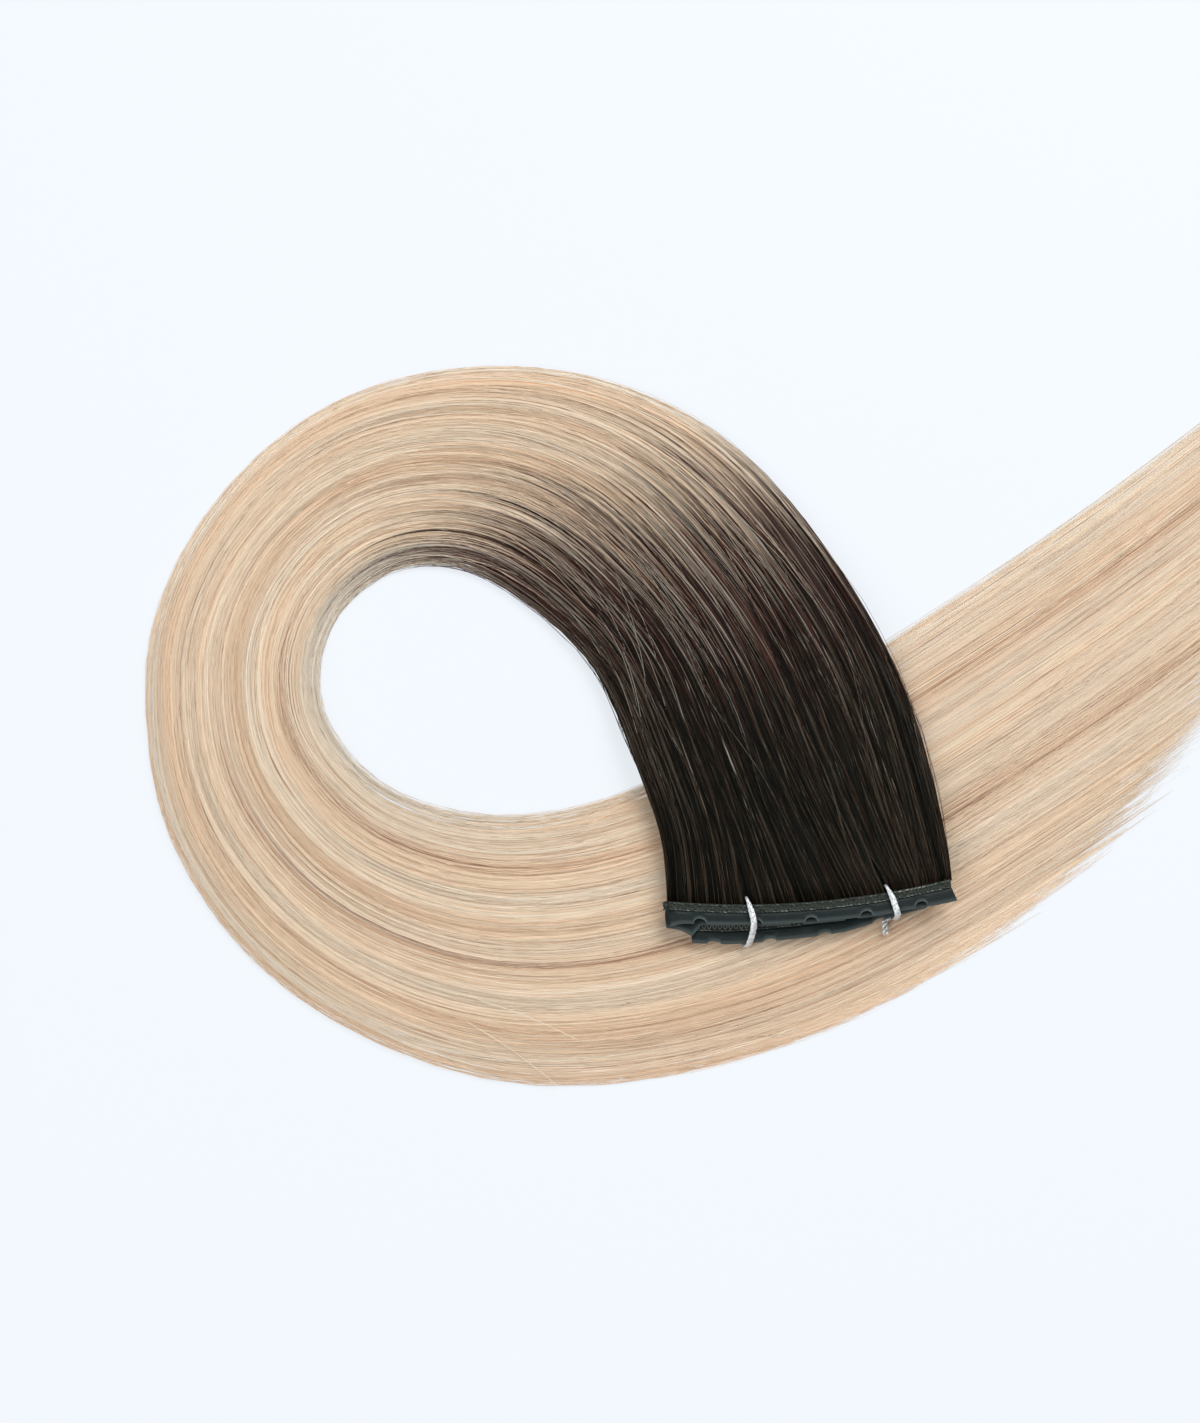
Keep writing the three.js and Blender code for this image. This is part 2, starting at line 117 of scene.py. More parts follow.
FLOOR_COLOUR = srgb(244, 249, 255)
floor_material, tree, shader = new_material("floor", {
    "Base Color": (0.2, 0.207, 0.215, 1), "Roughness": 0.9, "Specular IOR Level": 0.1,
    "Emission Color": FLOOR_COLOUR, "Emission Strength": 0.754})
floor_corners = [(x * FLOOR_HALF_SIZE, y * FLOOR_HALF_SIZE, 0)
                 for x, y in ((-1, -1), (1, -1), (1, 1), (-1, 1))]
floor_mesh = bpy.data.meshes.new("floor")
floor_mesh.from_pydata(floor_corners, [], [(0, 1, 2, 3)])
floor_mesh.materials.append(floor_material)
floor = bpy.data.objects.new("floor", floor_mesh)
floor.location.z = -FLOOR_DROP
bpy.context.scene.collection.objects.link(floor)
floor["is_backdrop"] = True
print("floor:", 2 * FLOOR_HALF_SIZE, "m square, linear colour", np.round(FLOOR_COLOUR, 2))

# %% World and lamps
WORLD_STRENGTH = 0.335
LAMPS_AIM = Vector((-0.04, 0.04, 0))
LAMPS = {  # place, width and height in metres, then watts
    "key": ((0.4, 0.7, 0.95), (1.0, 0.8), 12.0),
    "fill": ((-0.6, -0.5, 0.95), (1.2, 1.2), 7.3),
}
world = bpy.data.worlds.new("world")
world.use_nodes = True
world.node_tree.nodes["Background"].inputs["Color"].default_value = FLOOR_COLOUR
world.node_tree.nodes["Background"].inputs["Strength"].default_value = WORLD_STRENGTH
bpy.context.scene.world = world
bpy.context.scene.view_settings.view_transform = "Standard"

for name, (place, size, watts) in LAMPS.items():
    lamp_data = bpy.data.lights.new(name, "AREA")
    lamp_data.shape = "RECTANGLE"
    lamp_data.size, lamp_data.size_y = size
    lamp_data.energy = watts
    lamp = bpy.data.objects.new(name, lamp_data)
    lamp.location = place
    lamp.rotation_euler = (LAMPS_AIM - Vector(place)).to_track_quat("-Z", "Y").to_euler()
    bpy.context.scene.collection.objects.link(lamp)
    print("lamp", name, "of", watts, "W")

# %% [markdown]
# ## The way the hair runs
# The hair is one flat ribbon. A row of this table is a section across it: where the inside and
# the outside of the loop are, how high its underside lies there and how thick it is. Everything
# about the hair is placed by two numbers, a row number and a share of the way across. A curve
# object could carry the hair too, but a table can also change its width and height as it goes.

# %% Sections across the hair
INNER, OUTER, THICKNESS = [0, 1, 4], [2, 3, 5], 6
# inner x, inner y, outer x, outer y, inner lift, outer lift, thickness, in millimetres
SECTIONS = np.array([
    (-32.0, 0.9, 32.2, 5.9, 5.75, 5.75, 4.6),
    (-33.1, 14.4, 30.9, 16.5, 5.0, 5.1, 4.7),
    (-36.9, 26.7, 27.9, 32.0, 4.3, 4.5, 4.7),
    (-42.1, 39.4, 22.4, 50.8, 3.3, 4.4, 4.7),
    (-48.8, 52.6, 14.2, 68.6, 1.7, 3.6, 4.7),
    (-57.5, 63.8, 3.0, 87.0, 0.5, 1.5, 4.8),
    (-69.2, 74.0, -14.0, 106.9, 0, 0.3, 5.0),
    (-80.5, 79.2, -38.3, 121.8, 0, 0, 5.3),
    (-91.2, 79.4, -70.6, 127.9, 0, 0, 5.8),
    (-100.0, 75.8, -108.0, 119.7, 0, 0, 6.4),
    (-107.3, 68.7, -136.1, 96.1, 0, 0, 6.8),
    (-111.3, 59.3, -149.7, 69.9, 0, 0, 6.9),
    (-111.9, 49.9, -152.1, 47.6, 0, 0, 6.8),
    (-108.7, 40.6, -147.6, 20.9, 0, 0, 6.4),
    (-100.3, 30.8, -132.4, -5.5, 0, 0, 5.8),
    (-88.4, 24.1, -108.2, -25.7, 0, 0, 5.2),
    (-71.2, 21.0, -76.5, -38.3, 0, 0, 4.6),
    (-51.7, 23.3, -43.8, -40.1, 0, 0, 4.1),
    (-32.2, 30.7, -11.0, -33.8, 0, 0, 4.0),
    (-6.8, 45.0, 19.3, -22.3, 0, 0, 4.0),
    (20.6, 62.6, 50.7, -4.7, 0, 0, 4.0),
    (48.6, 81.1, 80.9, 14.8, 0, 0, 3.8),
    (75.6, 100.2, 109.1, 35.6, 0, 0, 3.5),
    (103.0, 121.0, 136.0, 60.0, 0, 0, 3.2),
    (130.5, 142.0, 161.0, 87.0, 0, 0, 2.9),
    (158.0, 163.0, 185.0, 116.0, 0, 0, 2.6),
])
LAST_ROW = len(SECTIONS) - 1
print("sections:", len(SECTIONS), "of which the thickest is", SECTIONS[:, THICKNESS].max(), "mm")

# %% A smooth way through the sections
def smoothstep(low, high, value):
    """From 0 at low to 1 at high, with soft ends."""
    share = np.clip((value - low) / (high - low), 0, 1)
    return share * share * (3 - 2 * share)


def fade(low, high, value):
    """From 1 at low to 0 at high, with soft ends."""
    return 1 - smoothstep(low, high, value)


# The smoothest curve through the rows has a bend at each row that follows from all the others.
links = 4 * np.eye(LAST_ROW + 1) + np.eye(LAST_ROW + 1, k=1) + np.eye(LAST_ROW + 1, k=-1)
links[[0, -1]] = np.eye(LAST_ROW + 1)[[0, -1]]
pulls = np.zeros_like(SECTIONS)
pulls[1:-1] = 6 * np.diff(SECTIONS, 2, axis=0)
BENDS = np.linalg.solve(links, pulls)


def sections_at(row):
    """The table's columns at row numbers that may lie between its rows, on a smooth curve."""
    first = np.clip(np.floor(row).astype(int), 0, LAST_ROW - 1)
    after = (row - first)[..., None]
    before = 1 - after
    straight = SECTIONS[first] * before + SECTIONS[first + 1] * after
    bent = (before ** 3 - before) * BENDS[first] + (after ** 3 - after) * BENDS[first + 1]
    return straight + bent / 6


print("thickness half-way from row 8 to 9:", sections_at(np.array([8.5]))[0, THICKNESS].round(2), "mm")

# %% Places on the hair's underside
FOLDED_WIDTH = 64.5
EDGE_ANGLE, EDGE_BOW, BOW_FADES_AT_ROW = math.radians(4.43), 2.7, 2.5
DRAWN_IN, DRAWN_IN_AT_ROW, DRAWN_IN_ROWS = 0.026, 4.3, 1.3


def bow(along):
    """How far the sewn edge bows out at a place along it, in millimetres."""
    return EDGE_BOW * ((2 * along / FOLDED_WIDTH) ** 2 - 1)


def ribbon(row, across):
    """Points on the hair's underside, in millimetres."""
    section = sections_at(row)
    inner, outer = section[..., INNER], section[..., OUTER]
    drawn_in = DRAWN_IN * np.exp(-((row - DRAWN_IN_AT_ROW) / DRAWN_IN_ROWS) ** 2)
    across = across + (1 - across) * drawn_in
    points = inner + (outer - inner) * across[..., None]
    points[..., 2] = np.maximum(points[..., 2], 0)
    hang = bow((across - 0.5) * FOLDED_WIDTH) * np.clip(1 - row / BOW_FADES_AT_ROW, 0, 1) ** 2
    points[..., 0] -= math.sin(EDGE_ANGLE) * hang
    points[..., 1] += math.cos(EDGE_ANGLE) * hang
    return points


rows_fine, across_fine = np.linspace(0, LAST_ROW, 401), np.linspace(0, 1, 41)
grid = ribbon(*np.broadcast_arrays(rows_fine[:, None], across_fine[None, :]))
steps = np.linalg.norm(np.diff(grid, axis=0), axis=2)
run_fine = np.vstack([np.zeros(len(across_fine)), np.cumsum(steps, axis=0)])
print("way along the inside, middle and outside:", run_fine[-1, ::20].round(0), "mm")

# %% How far along a place is
def run_at(row, across):
    """How far along its own way a hair has come at a row, in millimetres."""
    down = np.clip(row / LAST_ROW * (len(rows_fine) - 1), 0, len(rows_fine) - 1.001)
    over = np.clip(across * (len(across_fine) - 1), 0, len(across_fine) - 1.001)
    i, j = down.astype(int), over.astype(int)
    down, over = down - i, over - j
    near = run_fine[i, j] * (1 - down) + run_fine[i + 1, j] * down
    far = run_fine[i, j + 1] * (1 - down) + run_fine[i + 1, j + 1] * down
    return near * (1 - over) + far * over


def row_at_run(run, across):
    """The row that a hair reaches after running that far."""
    column = np.clip((across * (len(across_fine) - 1)).round().astype(int), 0, len(across_fine) - 1)
    return np.array([np.interp(far, run_fine[:, c], rows_fine) for far, c in zip(run, column)])


print("the middle hair passes row 12 after", run_at(np.array([12.0]), np.array([0.5])).round(0), "mm")

# %% [markdown]
# ## How thick the hair lies
# At the track the hair is a flat slab as thick as three panels. Further along it slumps into a low
# dome, and it thins out towards the tips. Slow waves across the width gather it into soft locks, and
# two ties part it where they come up through the roots. Sculpting could give such a surface, but a
# formula lets every strand find its own height on it.

# %% Random waves
TURN = 6.28
rng = np.random.default_rng(22)


def random_waves(number, counts, drift):
    """Waves across the hair: how many fit in its width, how far each drifts along it, and a phase."""
    return [(rng.uniform(*counts), rng.uniform(-drift, drift) if drift else 0, rng.uniform(0, TURN))
            for _ in range(number)]


def wave_sum(waves, row, across, drift_rows):
    """The sum of waves at a place. Each has drifted by its own drift after that many rows."""
    return sum(np.sin(TURN * (count * across + drift * row / drift_rows) + phase)
               for count, drift, phase in waves)


lock_waves = random_waves(7, (5, 17), 0.5)
ridge_waves = random_waves(6, (24, 66), 1.5)
print("locks across the hair:", np.round([count for count, _, _ in lock_waves], 1))

# %% Height of the hair's surface
HAIR_LENGTH = 559
REACH_ACROSS = (0, 0.25, 0.5, 0.7, 0.82, 0.9, 0.95, 0.98, 1)
REACH_SHARE = (0.86, 0.89, 0.95, 0.99, 0.998, 1.003, 0.985, 0.945, 0.88)
EDGE_HEIGHT, SPREAD_OUT, SPREAD_WIDTH = 0.2, 0.6, 0.12
TIP_THINS_TO, TIP_THINS_OVER = 0.22, 90
LOCK_HEIGHT, RIDGE_HEIGHT, TUCKED_IN = 0.055, 0.07, 0.35


def reach(across):
    """How far hairs reach along their own way, in millimetres."""
    return HAIR_LENGTH * np.interp(across, REACH_ACROSS, REACH_SHARE)


def edge_share(across):
    """How far a place is from the nearer side of the hair, as a share of the width."""
    return np.minimum(across, 1 - across)


def crown(row, across, run):
    """Height of the hair's surface over its underside, in millimetres. Locks are soft waves, and
    ridges are narrow ones, a millimetre or two wide, where a few hairs cling together."""
    dome = np.clip(1 - np.abs(2 * across - 1) ** 3.2, 0, 1) ** 0.6
    dome = EDGE_HEIGHT + (1 - EDGE_HEIGHT) * dome
    slab = fade(0, 4, row)
    spread_out = SPREAD_OUT * fade(0, SPREAD_WIDTH, edge_share(across)) * smoothstep(5, 9, row)
    shape = (dome + (1 - dome) * slab) * (1 - spread_out)
    thin = TIP_THINS_TO + (1 - TIP_THINS_TO) * smoothstep(0, TIP_THINS_OVER, reach(across) - run)
    locks = 1 + LOCK_HEIGHT * wave_sum(lock_waves, row, across, 6) / 4 * smoothstep(0, 3, row)
    ridges = RIDGE_HEIGHT * wave_sum(ridge_waves, row, across, 8) / 3 * smoothstep(0.2, 1.5, row)
    ridges = ridges * thin * (1 - 0.5 * smoothstep(16, 20, row))
    tucked = TUCKED_IN * fade(0, 0.3, row)
    return sections_at(row)[..., THICKNESS] * shape * thin * locks + ridges - tucked


middle_heights = crown(rows_fine[::80], np.full(6, 0.5), run_fine[::80, 20])
print("height along the middle, every five rows:", middle_heights.round(1), "mm")

# %% Combing and partings
COMBED_IN, COMBED_BY_ROW = 0.15, 3.2
TIE_AT = {"tie_left": -14.0, "tie_right": 17.6}
PARTINGS = [0.5 + at / FOLDED_WIDTH for at in TIE_AT.values()]
PARTING_PUSH, PARTING_WIDTH, GROOVE_WIDTH = 0.6, 2.2, 0.7
PARTING_CLOSES = 0.25, 0.85


def combed(row, across):
    """The share across, drawn towards the inside as the roots are, and let out again later."""
    drawn = (1 - np.clip(1 - row / COMBED_BY_ROW, 0, 1) ** 2) * fade(4, 11, row)
    return across - COMBED_IN * np.sin(np.pi * np.clip(across, 0, 1) ** 1.6) * drawn


def parting(row, start):
    """How far a hair is pushed aside, as a share of the width, where a tie comes up through it."""
    push = np.zeros_like(start)
    for middle in PARTINGS:
        off = (start - middle) * FOLDED_WIDTH
        push += np.sign(off) * np.exp(-np.abs(off) / PARTING_WIDTH)
    return push * PARTING_PUSH / FOLDED_WIDTH * fade(*PARTING_CLOSES, row)


def groove(row, across):
    """How deep the parting is, from 0 to 1."""
    near = sum(np.exp(-((across - combed(row, middle)) * FOLDED_WIDTH / GROOVE_WIDTH) ** 2)
               for middle in PARTINGS)
    return near * fade(*PARTING_CLOSES, row)


print("partings at shares across:", np.round(PARTINGS, 3))

# %% [markdown]
# ## Meshes from arrays
# Thousands of strands would be slow to make one by one. A tube is a stack of rings, so all tubes of
# a piece are written at once as arrays of points and faces. Each strand also gets its own row in a
# texture map and a few numbers on its points, which the materials read.

# %% Faces of closed tubes
MAP_MARGIN, MAP_ROW_MARGIN = 0.004, 0.08
CAP_MIDDLE, CAP_SIZE = np.array([0.0015, 0.5]), np.array([0.0012, 0.3])


def tube_faces(count, rings, sides):
    """Faces of many closed tubes, and the map coordinates of their corners."""
    tube, ring, side = np.meshgrid(np.arange(count), np.arange(rings - 1), np.arange(sides),
                                   indexing="ij")
    around, along = np.array([0, 0, 1, 1]), np.array([0, 1, 1, 0])
    corner_ring, corner_side = ring[..., None] + along, side[..., None] + around
    quads = (tube[..., None] * rings + corner_ring) * sides + corner_side % sides
    u = MAP_MARGIN + (1 - 2 * MAP_MARGIN) * corner_ring / (rings - 1)
    v = MAP_ROW_MARGIN + (1 - 2 * MAP_ROW_MARGIN) * corner_side / sides
    side_map = np.stack([u, (tube[..., None] + v) / count], -1).reshape(-1, 2)
    ends = np.arange(count)[:, None] * rings * sides + np.arange(sides)[None, :]
    caps = np.concatenate([ends, (ends + (rings - 1) * sides)[:, ::-1]])
    angle = TURN * np.arange(sides) / sides
    spot = CAP_MIDDLE + CAP_SIZE * np.stack([np.cos(angle), np.sin(angle)], -1)
    cap_map = np.tile(spot, (2 * count, 1, 1))
    cap_map[:, :, 1] = (cap_map[:, :, 1] + np.tile(np.arange(count), 2)[:, None]) / count
    cap_map[count:, :, 0] = 1 - cap_map[count:, :, 0]
    return quads.reshape(-1, 4), caps, np.concatenate([side_map, cap_map.reshape(-1, 2)])


print("a tube of 10 rings of 3 has", sum(len(faces) for faces in tube_faces(1, 10, 3)[:2]), "faces")

# %% Rings along paths
def rings_along(centres, radius, sides, roll=None, upright=(0, 0, 1.0)):
    """Rings of points round many paths: centres is tubes by stations by 3."""
    tangent = np.gradient(centres, axis=1)
    tangent /= np.linalg.norm(tangent, axis=2, keepdims=True)
    side = np.cross(tangent, upright)
    side /= np.maximum(np.linalg.norm(side, axis=2, keepdims=True), 1e-9)
    over = np.cross(side, tangent)
    roll = np.zeros(len(centres)) if roll is None else roll
    angle = (roll[:, None, None] + 2 * np.pi * np.arange(sides) / sides)[..., None]
    turn = np.cos(angle) * side[:, :, None, :] + np.sin(angle) * over[:, :, None, :]
    return centres[:, :, None, :] + radius[:, :, None, None] * turn


straight_path = np.array([[(0.0, 0, 0), (1.0, 0, 0), (2.0, 0, 0)]])
print("rings round a straight path:", rings_along(straight_path, np.ones((1, 3)), 4).shape)

# %% A piece from rings
MAP_NAME = "OFBake"


def tube_piece(name, rings, numbers):
    """One object of closed tubes. Rings is tubes by stations by sides by 3, in millimetres, and
    numbers has an array of tubes by stations, or tubes by stations by sides, for each name."""
    count, stations, sides = rings.shape[:3]
    quads, caps, corner_map = tube_faces(count, stations, sides)
    mesh = bpy.data.meshes.new(name)
    corners = np.concatenate([quads.ravel(), caps.ravel()])
    sizes = np.concatenate([np.full(len(quads), 4), np.full(len(caps), sides)])
    mesh.vertices.add(count * stations * sides)
    mesh.vertices.foreach_set("co", (rings * MM).astype(np.float32).ravel())
    mesh.loops.add(len(corners))
    mesh.loops.foreach_set("vertex_index", corners.astype(np.int32))
    mesh.polygons.add(len(sizes))
    mesh.polygons.foreach_set("loop_start", (np.cumsum(sizes) - sizes).astype(np.int32))
    mesh.polygons.foreach_set("use_smooth", np.ones(len(sizes), bool))
    layer = mesh.uv_layers.new(name=MAP_NAME)
    layer.data.foreach_set("uv", corner_map.astype(np.float32).ravel())
    for key, values in numbers.items():
        values = np.broadcast_to(values[..., None] if values.ndim == 2 else values, rings.shape[:3])
        attribute = mesh.attributes.new(key, "FLOAT", "POINT")
        attribute.data.foreach_set("value", values.astype(np.float32).ravel())
    mesh.update(calc_edges=True)
    mesh.validate()
    made = bpy.data.objects.new(name, mesh)
    bpy.context.scene.collection.objects.link(made)
    return made


print("map on every piece:", MAP_NAME)

# %% [markdown]
# ## Helpers for shader nodes
# Shader trees get long, so one function makes a node, sets its fields and either links or sets
# each input. The nodes could be wired by hand in the editor, but then they couldn't be read here.

# %% Node helpers
def node(tree, kind, inputs=None, **fields):
    """A node with its fields set, and each input linked to a socket or set to a value."""
    made = tree.nodes.new(kind)
    for name, value in fields.items():
        setattr(made, name, value)
    for name, value in (inputs or {}).items():
        if isinstance(value, bpy.types.NodeSocket):
            tree.links.new(value, made.inputs[name])
        else:
            made.inputs[name].default_value = value
    return made


def point_number(tree, key):
    """A number that the points of the mesh carry."""
    return node(tree, "ShaderNodeAttribute", attribute_name=key).outputs["Fac"]


def new_group(name, inputs, outputs):
    """A node group with named sockets of the given kinds, and its two ends."""
    group = bpy.data.node_groups.new(name, "ShaderNodeTree")
    for in_out, sockets in (("INPUT", inputs), ("OUTPUT", outputs)):
        for socket, kind in sockets.items():
            group.interface.new_socket(socket, in_out=in_out, socket_type=f"NodeSocket{kind}")
    return group, node(group, "NodeGroupInput").outputs, node(group, "NodeGroupOutput").inputs


print("node helpers:", [helper.__name__ for helper in (node, point_number, new_group)])

# %% Ramps, mixes and ranges
def ramp(tree, factor, stops):
    """A colour ramp with one stop for each position and screen colour."""
    made = node(tree, "ShaderNodeValToRGB", {"Fac": factor})
    elements = made.color_ramp.elements
    while len(elements) < len(stops):
        elements.new(0.5)
    for element, (position, colour) in zip(elements, stops):
        element.position = position
        element.color = srgb(*colour)
    return made.outputs["Color"]


def mix_colour(tree, factor, first, second):
    """The first colour where the factor is 0, the second where it is 1."""
    mixed = node(tree, "ShaderNodeMix", {0: factor, 6: first, 7: second}, data_type="RGBA")
    return mixed.outputs[2]


def map_range(tree, value, low, high, to_low=0.0, to_high=1.0, kind="LINEAR"):
    """A value moved from one range to another, and kept inside it."""
    inputs = {"Value": value, "From Min": low, "From Max": high, "To Min": to_low, "To Max": to_high}
    return node(tree, "ShaderNodeMapRange", inputs, interpolation_type=kind).outputs["Result"]


print("mid grey on a ramp, in linear light:", round(srgb(128, 128, 128)[0], 3))

# %% [markdown]
# ## Flecks
# Hair, cloth, coated film and foil all vary a little from place to place, in fine flecks that are
# drawn out along the piece. An image texture could hold them, but a noise stretched by its own
# amount in each material needs no file, so one node group serves all four.

# %% Flecks node group
def flecks_group():
    """Flecks from 0 to 1, at a place given by two numbers that are stretched before use."""
    group, into, out = new_group("flecks", {"X": "Float", "Y": "Float", "Stretch": "Vector",
                                            "Detail": "Float"}, {"Fleck": "Float"})
    at = node(group, "ShaderNodeCombineXYZ", {"X": into["X"], "Y": into["Y"]}).outputs[0]
    at = node(group, "ShaderNodeVectorMath", {0: at, 1: into["Stretch"]}, operation="MULTIPLY").outputs[0]
    noise = node(group, "ShaderNodeTexNoise", {"Vector": at, "Scale": 1.0, "Detail": into["Detail"]})
    group.links.new(map_range(group, noise.outputs["Fac"], 0.3, 0.7), out["Fleck"])
    return group


flecks = flecks_group()


def flecked(tree, stretch, keys=("along", "across"), detail=3.0):
    """The flecks for a material whose mesh carries those two numbers."""
    x, y = [point_number(tree, key) for key in keys]
    inputs = {"X": x, "Y": y, "Stretch": stretch, "Detail": detail}
    return node(tree, "ShaderNodeGroup", inputs, node_tree=flecks).outputs["Fleck"]


print("flecks group sockets:", [socket.name for socket in flecks.interface.items_tree])

# %% [markdown]
# ## Colour of the hair
# The roots are dyed nearly black, with brown and grey hairs among them, and in the bend some dark
# hairs are painted pale grey as a highlight. About a fifth of the way along each hair turns reddish
# brown and then blonde, some sooner than others, and the blonde is a mix of cream, gold, peach and
# ash brown. Strand points carry six numbers: along, across, root, tone, warm and shift. A painted
# texture would blur at this size, while numbers on points don't.

# %% Hair colour node group
BROWN_BETWEEN, BLONDE_BETWEEN = (0.08, 0.17), (0.162, 0.23)
# The palest stops of the dark and brown ramps are grey. They colour the few grey hairs, and in the bend
# they are also the painted highlight on dark hairs.
DARK_HAIRS = [(0.0, (4, 6, 3)), (0.25, (11, 12, 6)), (0.45, (21, 21, 13)), (0.65, (53, 38, 29)),
              (0.85, (82, 76, 62)), (1.0, (158, 154, 143))]
BROWN_HAIRS = [(0.0, (14, 8, 7)), (0.3, (40, 20, 17)), (0.6, (97, 57, 47)), (1.0, (168, 162, 149))]
BLONDE_HAIRS = [(0.0, (160, 122, 98)), (0.14, (202, 168, 140)), (0.34, (224, 198, 170)),
                (0.6, (235, 214, 187)), (0.85, (242, 226, 203)), (1.0, (249, 239, 222))]
PEACH, ASH = (238, 203, 169), (226, 214, 197)


def hair_colour_group():
    """Colour along a hair, from dark to brown to blonde, and a mask of the blonde."""
    numbers = dict.fromkeys(("Along", "Root", "Tone", "Warm", "Shift"), "Float")
    group, into, out = new_group("hair colour", numbers, {"Colour": "Color", "Blonde": "Float"})
    warmed = mix_colour(group, into["Warm"], ramp(group, into["Tone"], BLONDE_HAIRS), srgb(*PEACH))
    cool = map_range(group, into["Warm"], 0.0, -1.0)
    blonde = mix_colour(group, cool, warmed, srgb(*ASH))
    moved = node(group, "ShaderNodeMath", {0: into["Along"], 1: into["Shift"]}, operation="SUBTRACT")
    browns, turns = [map_range(group, moved.outputs[0], first, last, kind="SMOOTHSTEP")
                     for first, last in (BROWN_BETWEEN, BLONDE_BETWEEN)]
    dark = mix_colour(group, browns, ramp(group, into["Root"], DARK_HAIRS),
                      ramp(group, into["Root"], BROWN_HAIRS))
    group.links.new(mix_colour(group, turns, dark, blonde), out["Colour"])
    group.links.new(turns, out["Blonde"])
    return group


hair_colour = hair_colour_group()
print("hair colour group sockets:", [socket.name for socket in hair_colour.interface.items_tree])

# %% Hair material
GRAIN_STRETCH, GRAIN_DEPTH = (310.0, 5.0, 1.0), 0.08
ROUGH_DARK, ROUGH_BLONDE = 0.36, 0.5

hair_material, tree, shader = new_material("hair", {"Specular IOR Level": 0.08})
grain = flecked(tree, GRAIN_STRETCH, ("across", "along"), detail=2.0)
grain = map_range(tree, grain, 0.0, 1.0, -GRAIN_DEPTH, GRAIN_DEPTH)
along, root, tone, warm, shift = [point_number(tree, key)
                                  for key in ("along", "root", "tone", "warm", "shift")]
root, tone = [node(tree, "ShaderNodeMath", {0: number, 1: grain}, operation="ADD").outputs[0]
              for number in (root, tone)]
coloured = node(tree, "ShaderNodeGroup", {"Along": along, "Root": root, "Tone": tone, "Warm": warm,
                                          "Shift": shift}, node_tree=hair_colour)
rough = map_range(tree, coloured.outputs["Blonde"], 0.0, 1.0, ROUGH_DARK, ROUGH_BLONDE)
tree.links.new(coloured.outputs["Colour"], shader.inputs["Base Color"])
tree.links.new(rough, shader.inputs["Roughness"])
print("hair material:", len(tree.nodes), "nodes")


def dress(piece, material, slot, *nodes):
    """Give a piece its material and its place in the shared frame."""
    piece.data.materials.clear()
    piece.data.materials.append(material)
    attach(piece, "root")
    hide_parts(*nodes)
    print(piece.name, "replaces", nodes, "with", len(piece.data.polygons), "faces")

# %% [markdown]
# ## Streaks
# Neighbouring hairs share their colour, which makes streaks that run the whole way round. They could
# be painted on, but a table holds the streaks that stand out, and a few random waves add the soft
# ones, so that body and strands can look up the same colour at any place. The table also holds one
# painted shadow, where the folded edge shades the hair in front of it, and the sides get painted light.

# %% Shared tone
STREAKS = [  # across, half width, change of tone, from row, to row
    (0.20, 0.035, -0.3, 11, 18), (0.21, 0.05, -0.24, 19, 25), (0.57, 0.03, -0.25, 13, 25),
    (0.80, 0.025, -0.15, 12, 20), (0.50, 0.02, -0.2, 6, 10), (0.42, 0.03, -0.2, 4, 9),
    (0.66, 0.03, 0.16, 7, 24), (0.34, 0.04, 0.06, 7, 25), (0.90, 0.03, -0.12, 5, 12),
    # Not a streak: a painted shadow of the folded edge on the hair just in front of it.
    (0.86, 0.07, -0.15, 16.5, 18.5),
]
SIDES_PALE_AND_LIT, SLOPE_PAINTED_LIGHT, FAR_INSIDE_PALER = 0.14, 0.24, 0.2
tone_waves = random_waves(12, (8, 120), 1.0)
root_waves = random_waves(12, (12, 130), 1.0)
shift_waves = random_waves(7, (3, 26), 0)


def lock_tone(row, across):
    """Tone that neighbouring hairs share, around 0."""
    total = 0.024 * wave_sum(tone_waves, row, across, 10)
    for middle, half_width, change, first, last in STREAKS:
        near = np.exp(-((across - middle) / half_width) ** 2)
        lasts = smoothstep(first - 1.5, first + 1, row) * fade(last - 1, last + 1.5, row)
        total = total + change * near * lasts
    total = total * (1 - 0.25 * smoothstep(17, 20, row))
    # Painted light: the sides are paler, partly as their fringe of fine hairs is and partly to make up for
    # the shade they lie in, and the outer slope is paler only to make up for its shade.
    sides = SIDES_PALE_AND_LIT * (smoothstep(0.9, 0.97, across) + fade(0.03, 0.1, across))
    slope = SLOPE_PAINTED_LIGHT * smoothstep(0.84, 0.95, across)
    far_inside = FAR_INSIDE_PALER * fade(0, 0.06, across) * smoothstep(17, 19, row)
    later = 0.02 * smoothstep(13, 17, row) - 0.14 * smoothstep(16.5, 19, row)
    return total + sides + slope + far_inside + later


print("shared tone across row 12:", lock_tone(np.array(12.0), across_fine[::8]).round(2))

# %% Shared root colour, warmth, shift and shine
def lock_root(row, across):
    """How much lighter the dark hairs at a place are, around 0. Both sides are browner."""
    inner = fade(0.06, 0.17, across) * smoothstep(0.8, 2.5, row)
    outer = smoothstep(0.5, 0.85, across) * fade(2, 4, row)
    return 0.045 * wave_sum(root_waves, row, across, 6) + 0.23 * inner + 0.13 * outer


def warmth(row, across):
    """From -1 for ash to 1 for peach."""
    edge = 0.4 * smoothstep(0.74, 0.96, across) * smoothstep(5, 9, row)
    ash = 0.7 * fade(0.05, 0.2, across) * smoothstep(6, 9, row) * fade(14, 18, row)
    paler = 0.15 * smoothstep(18, 20, row)
    return 0.05 + edge - ash - paler + 0.2 * np.sin(TURN * (5.3 * across + row / 17))


def lock_shift(across):
    """How much later than usual neighbouring hairs turn blonde, as a share of the length."""
    return 0.004 * fade(0.02, 0.16, across) + 0.003 * wave_sum(shift_waves, 0, across, 1)


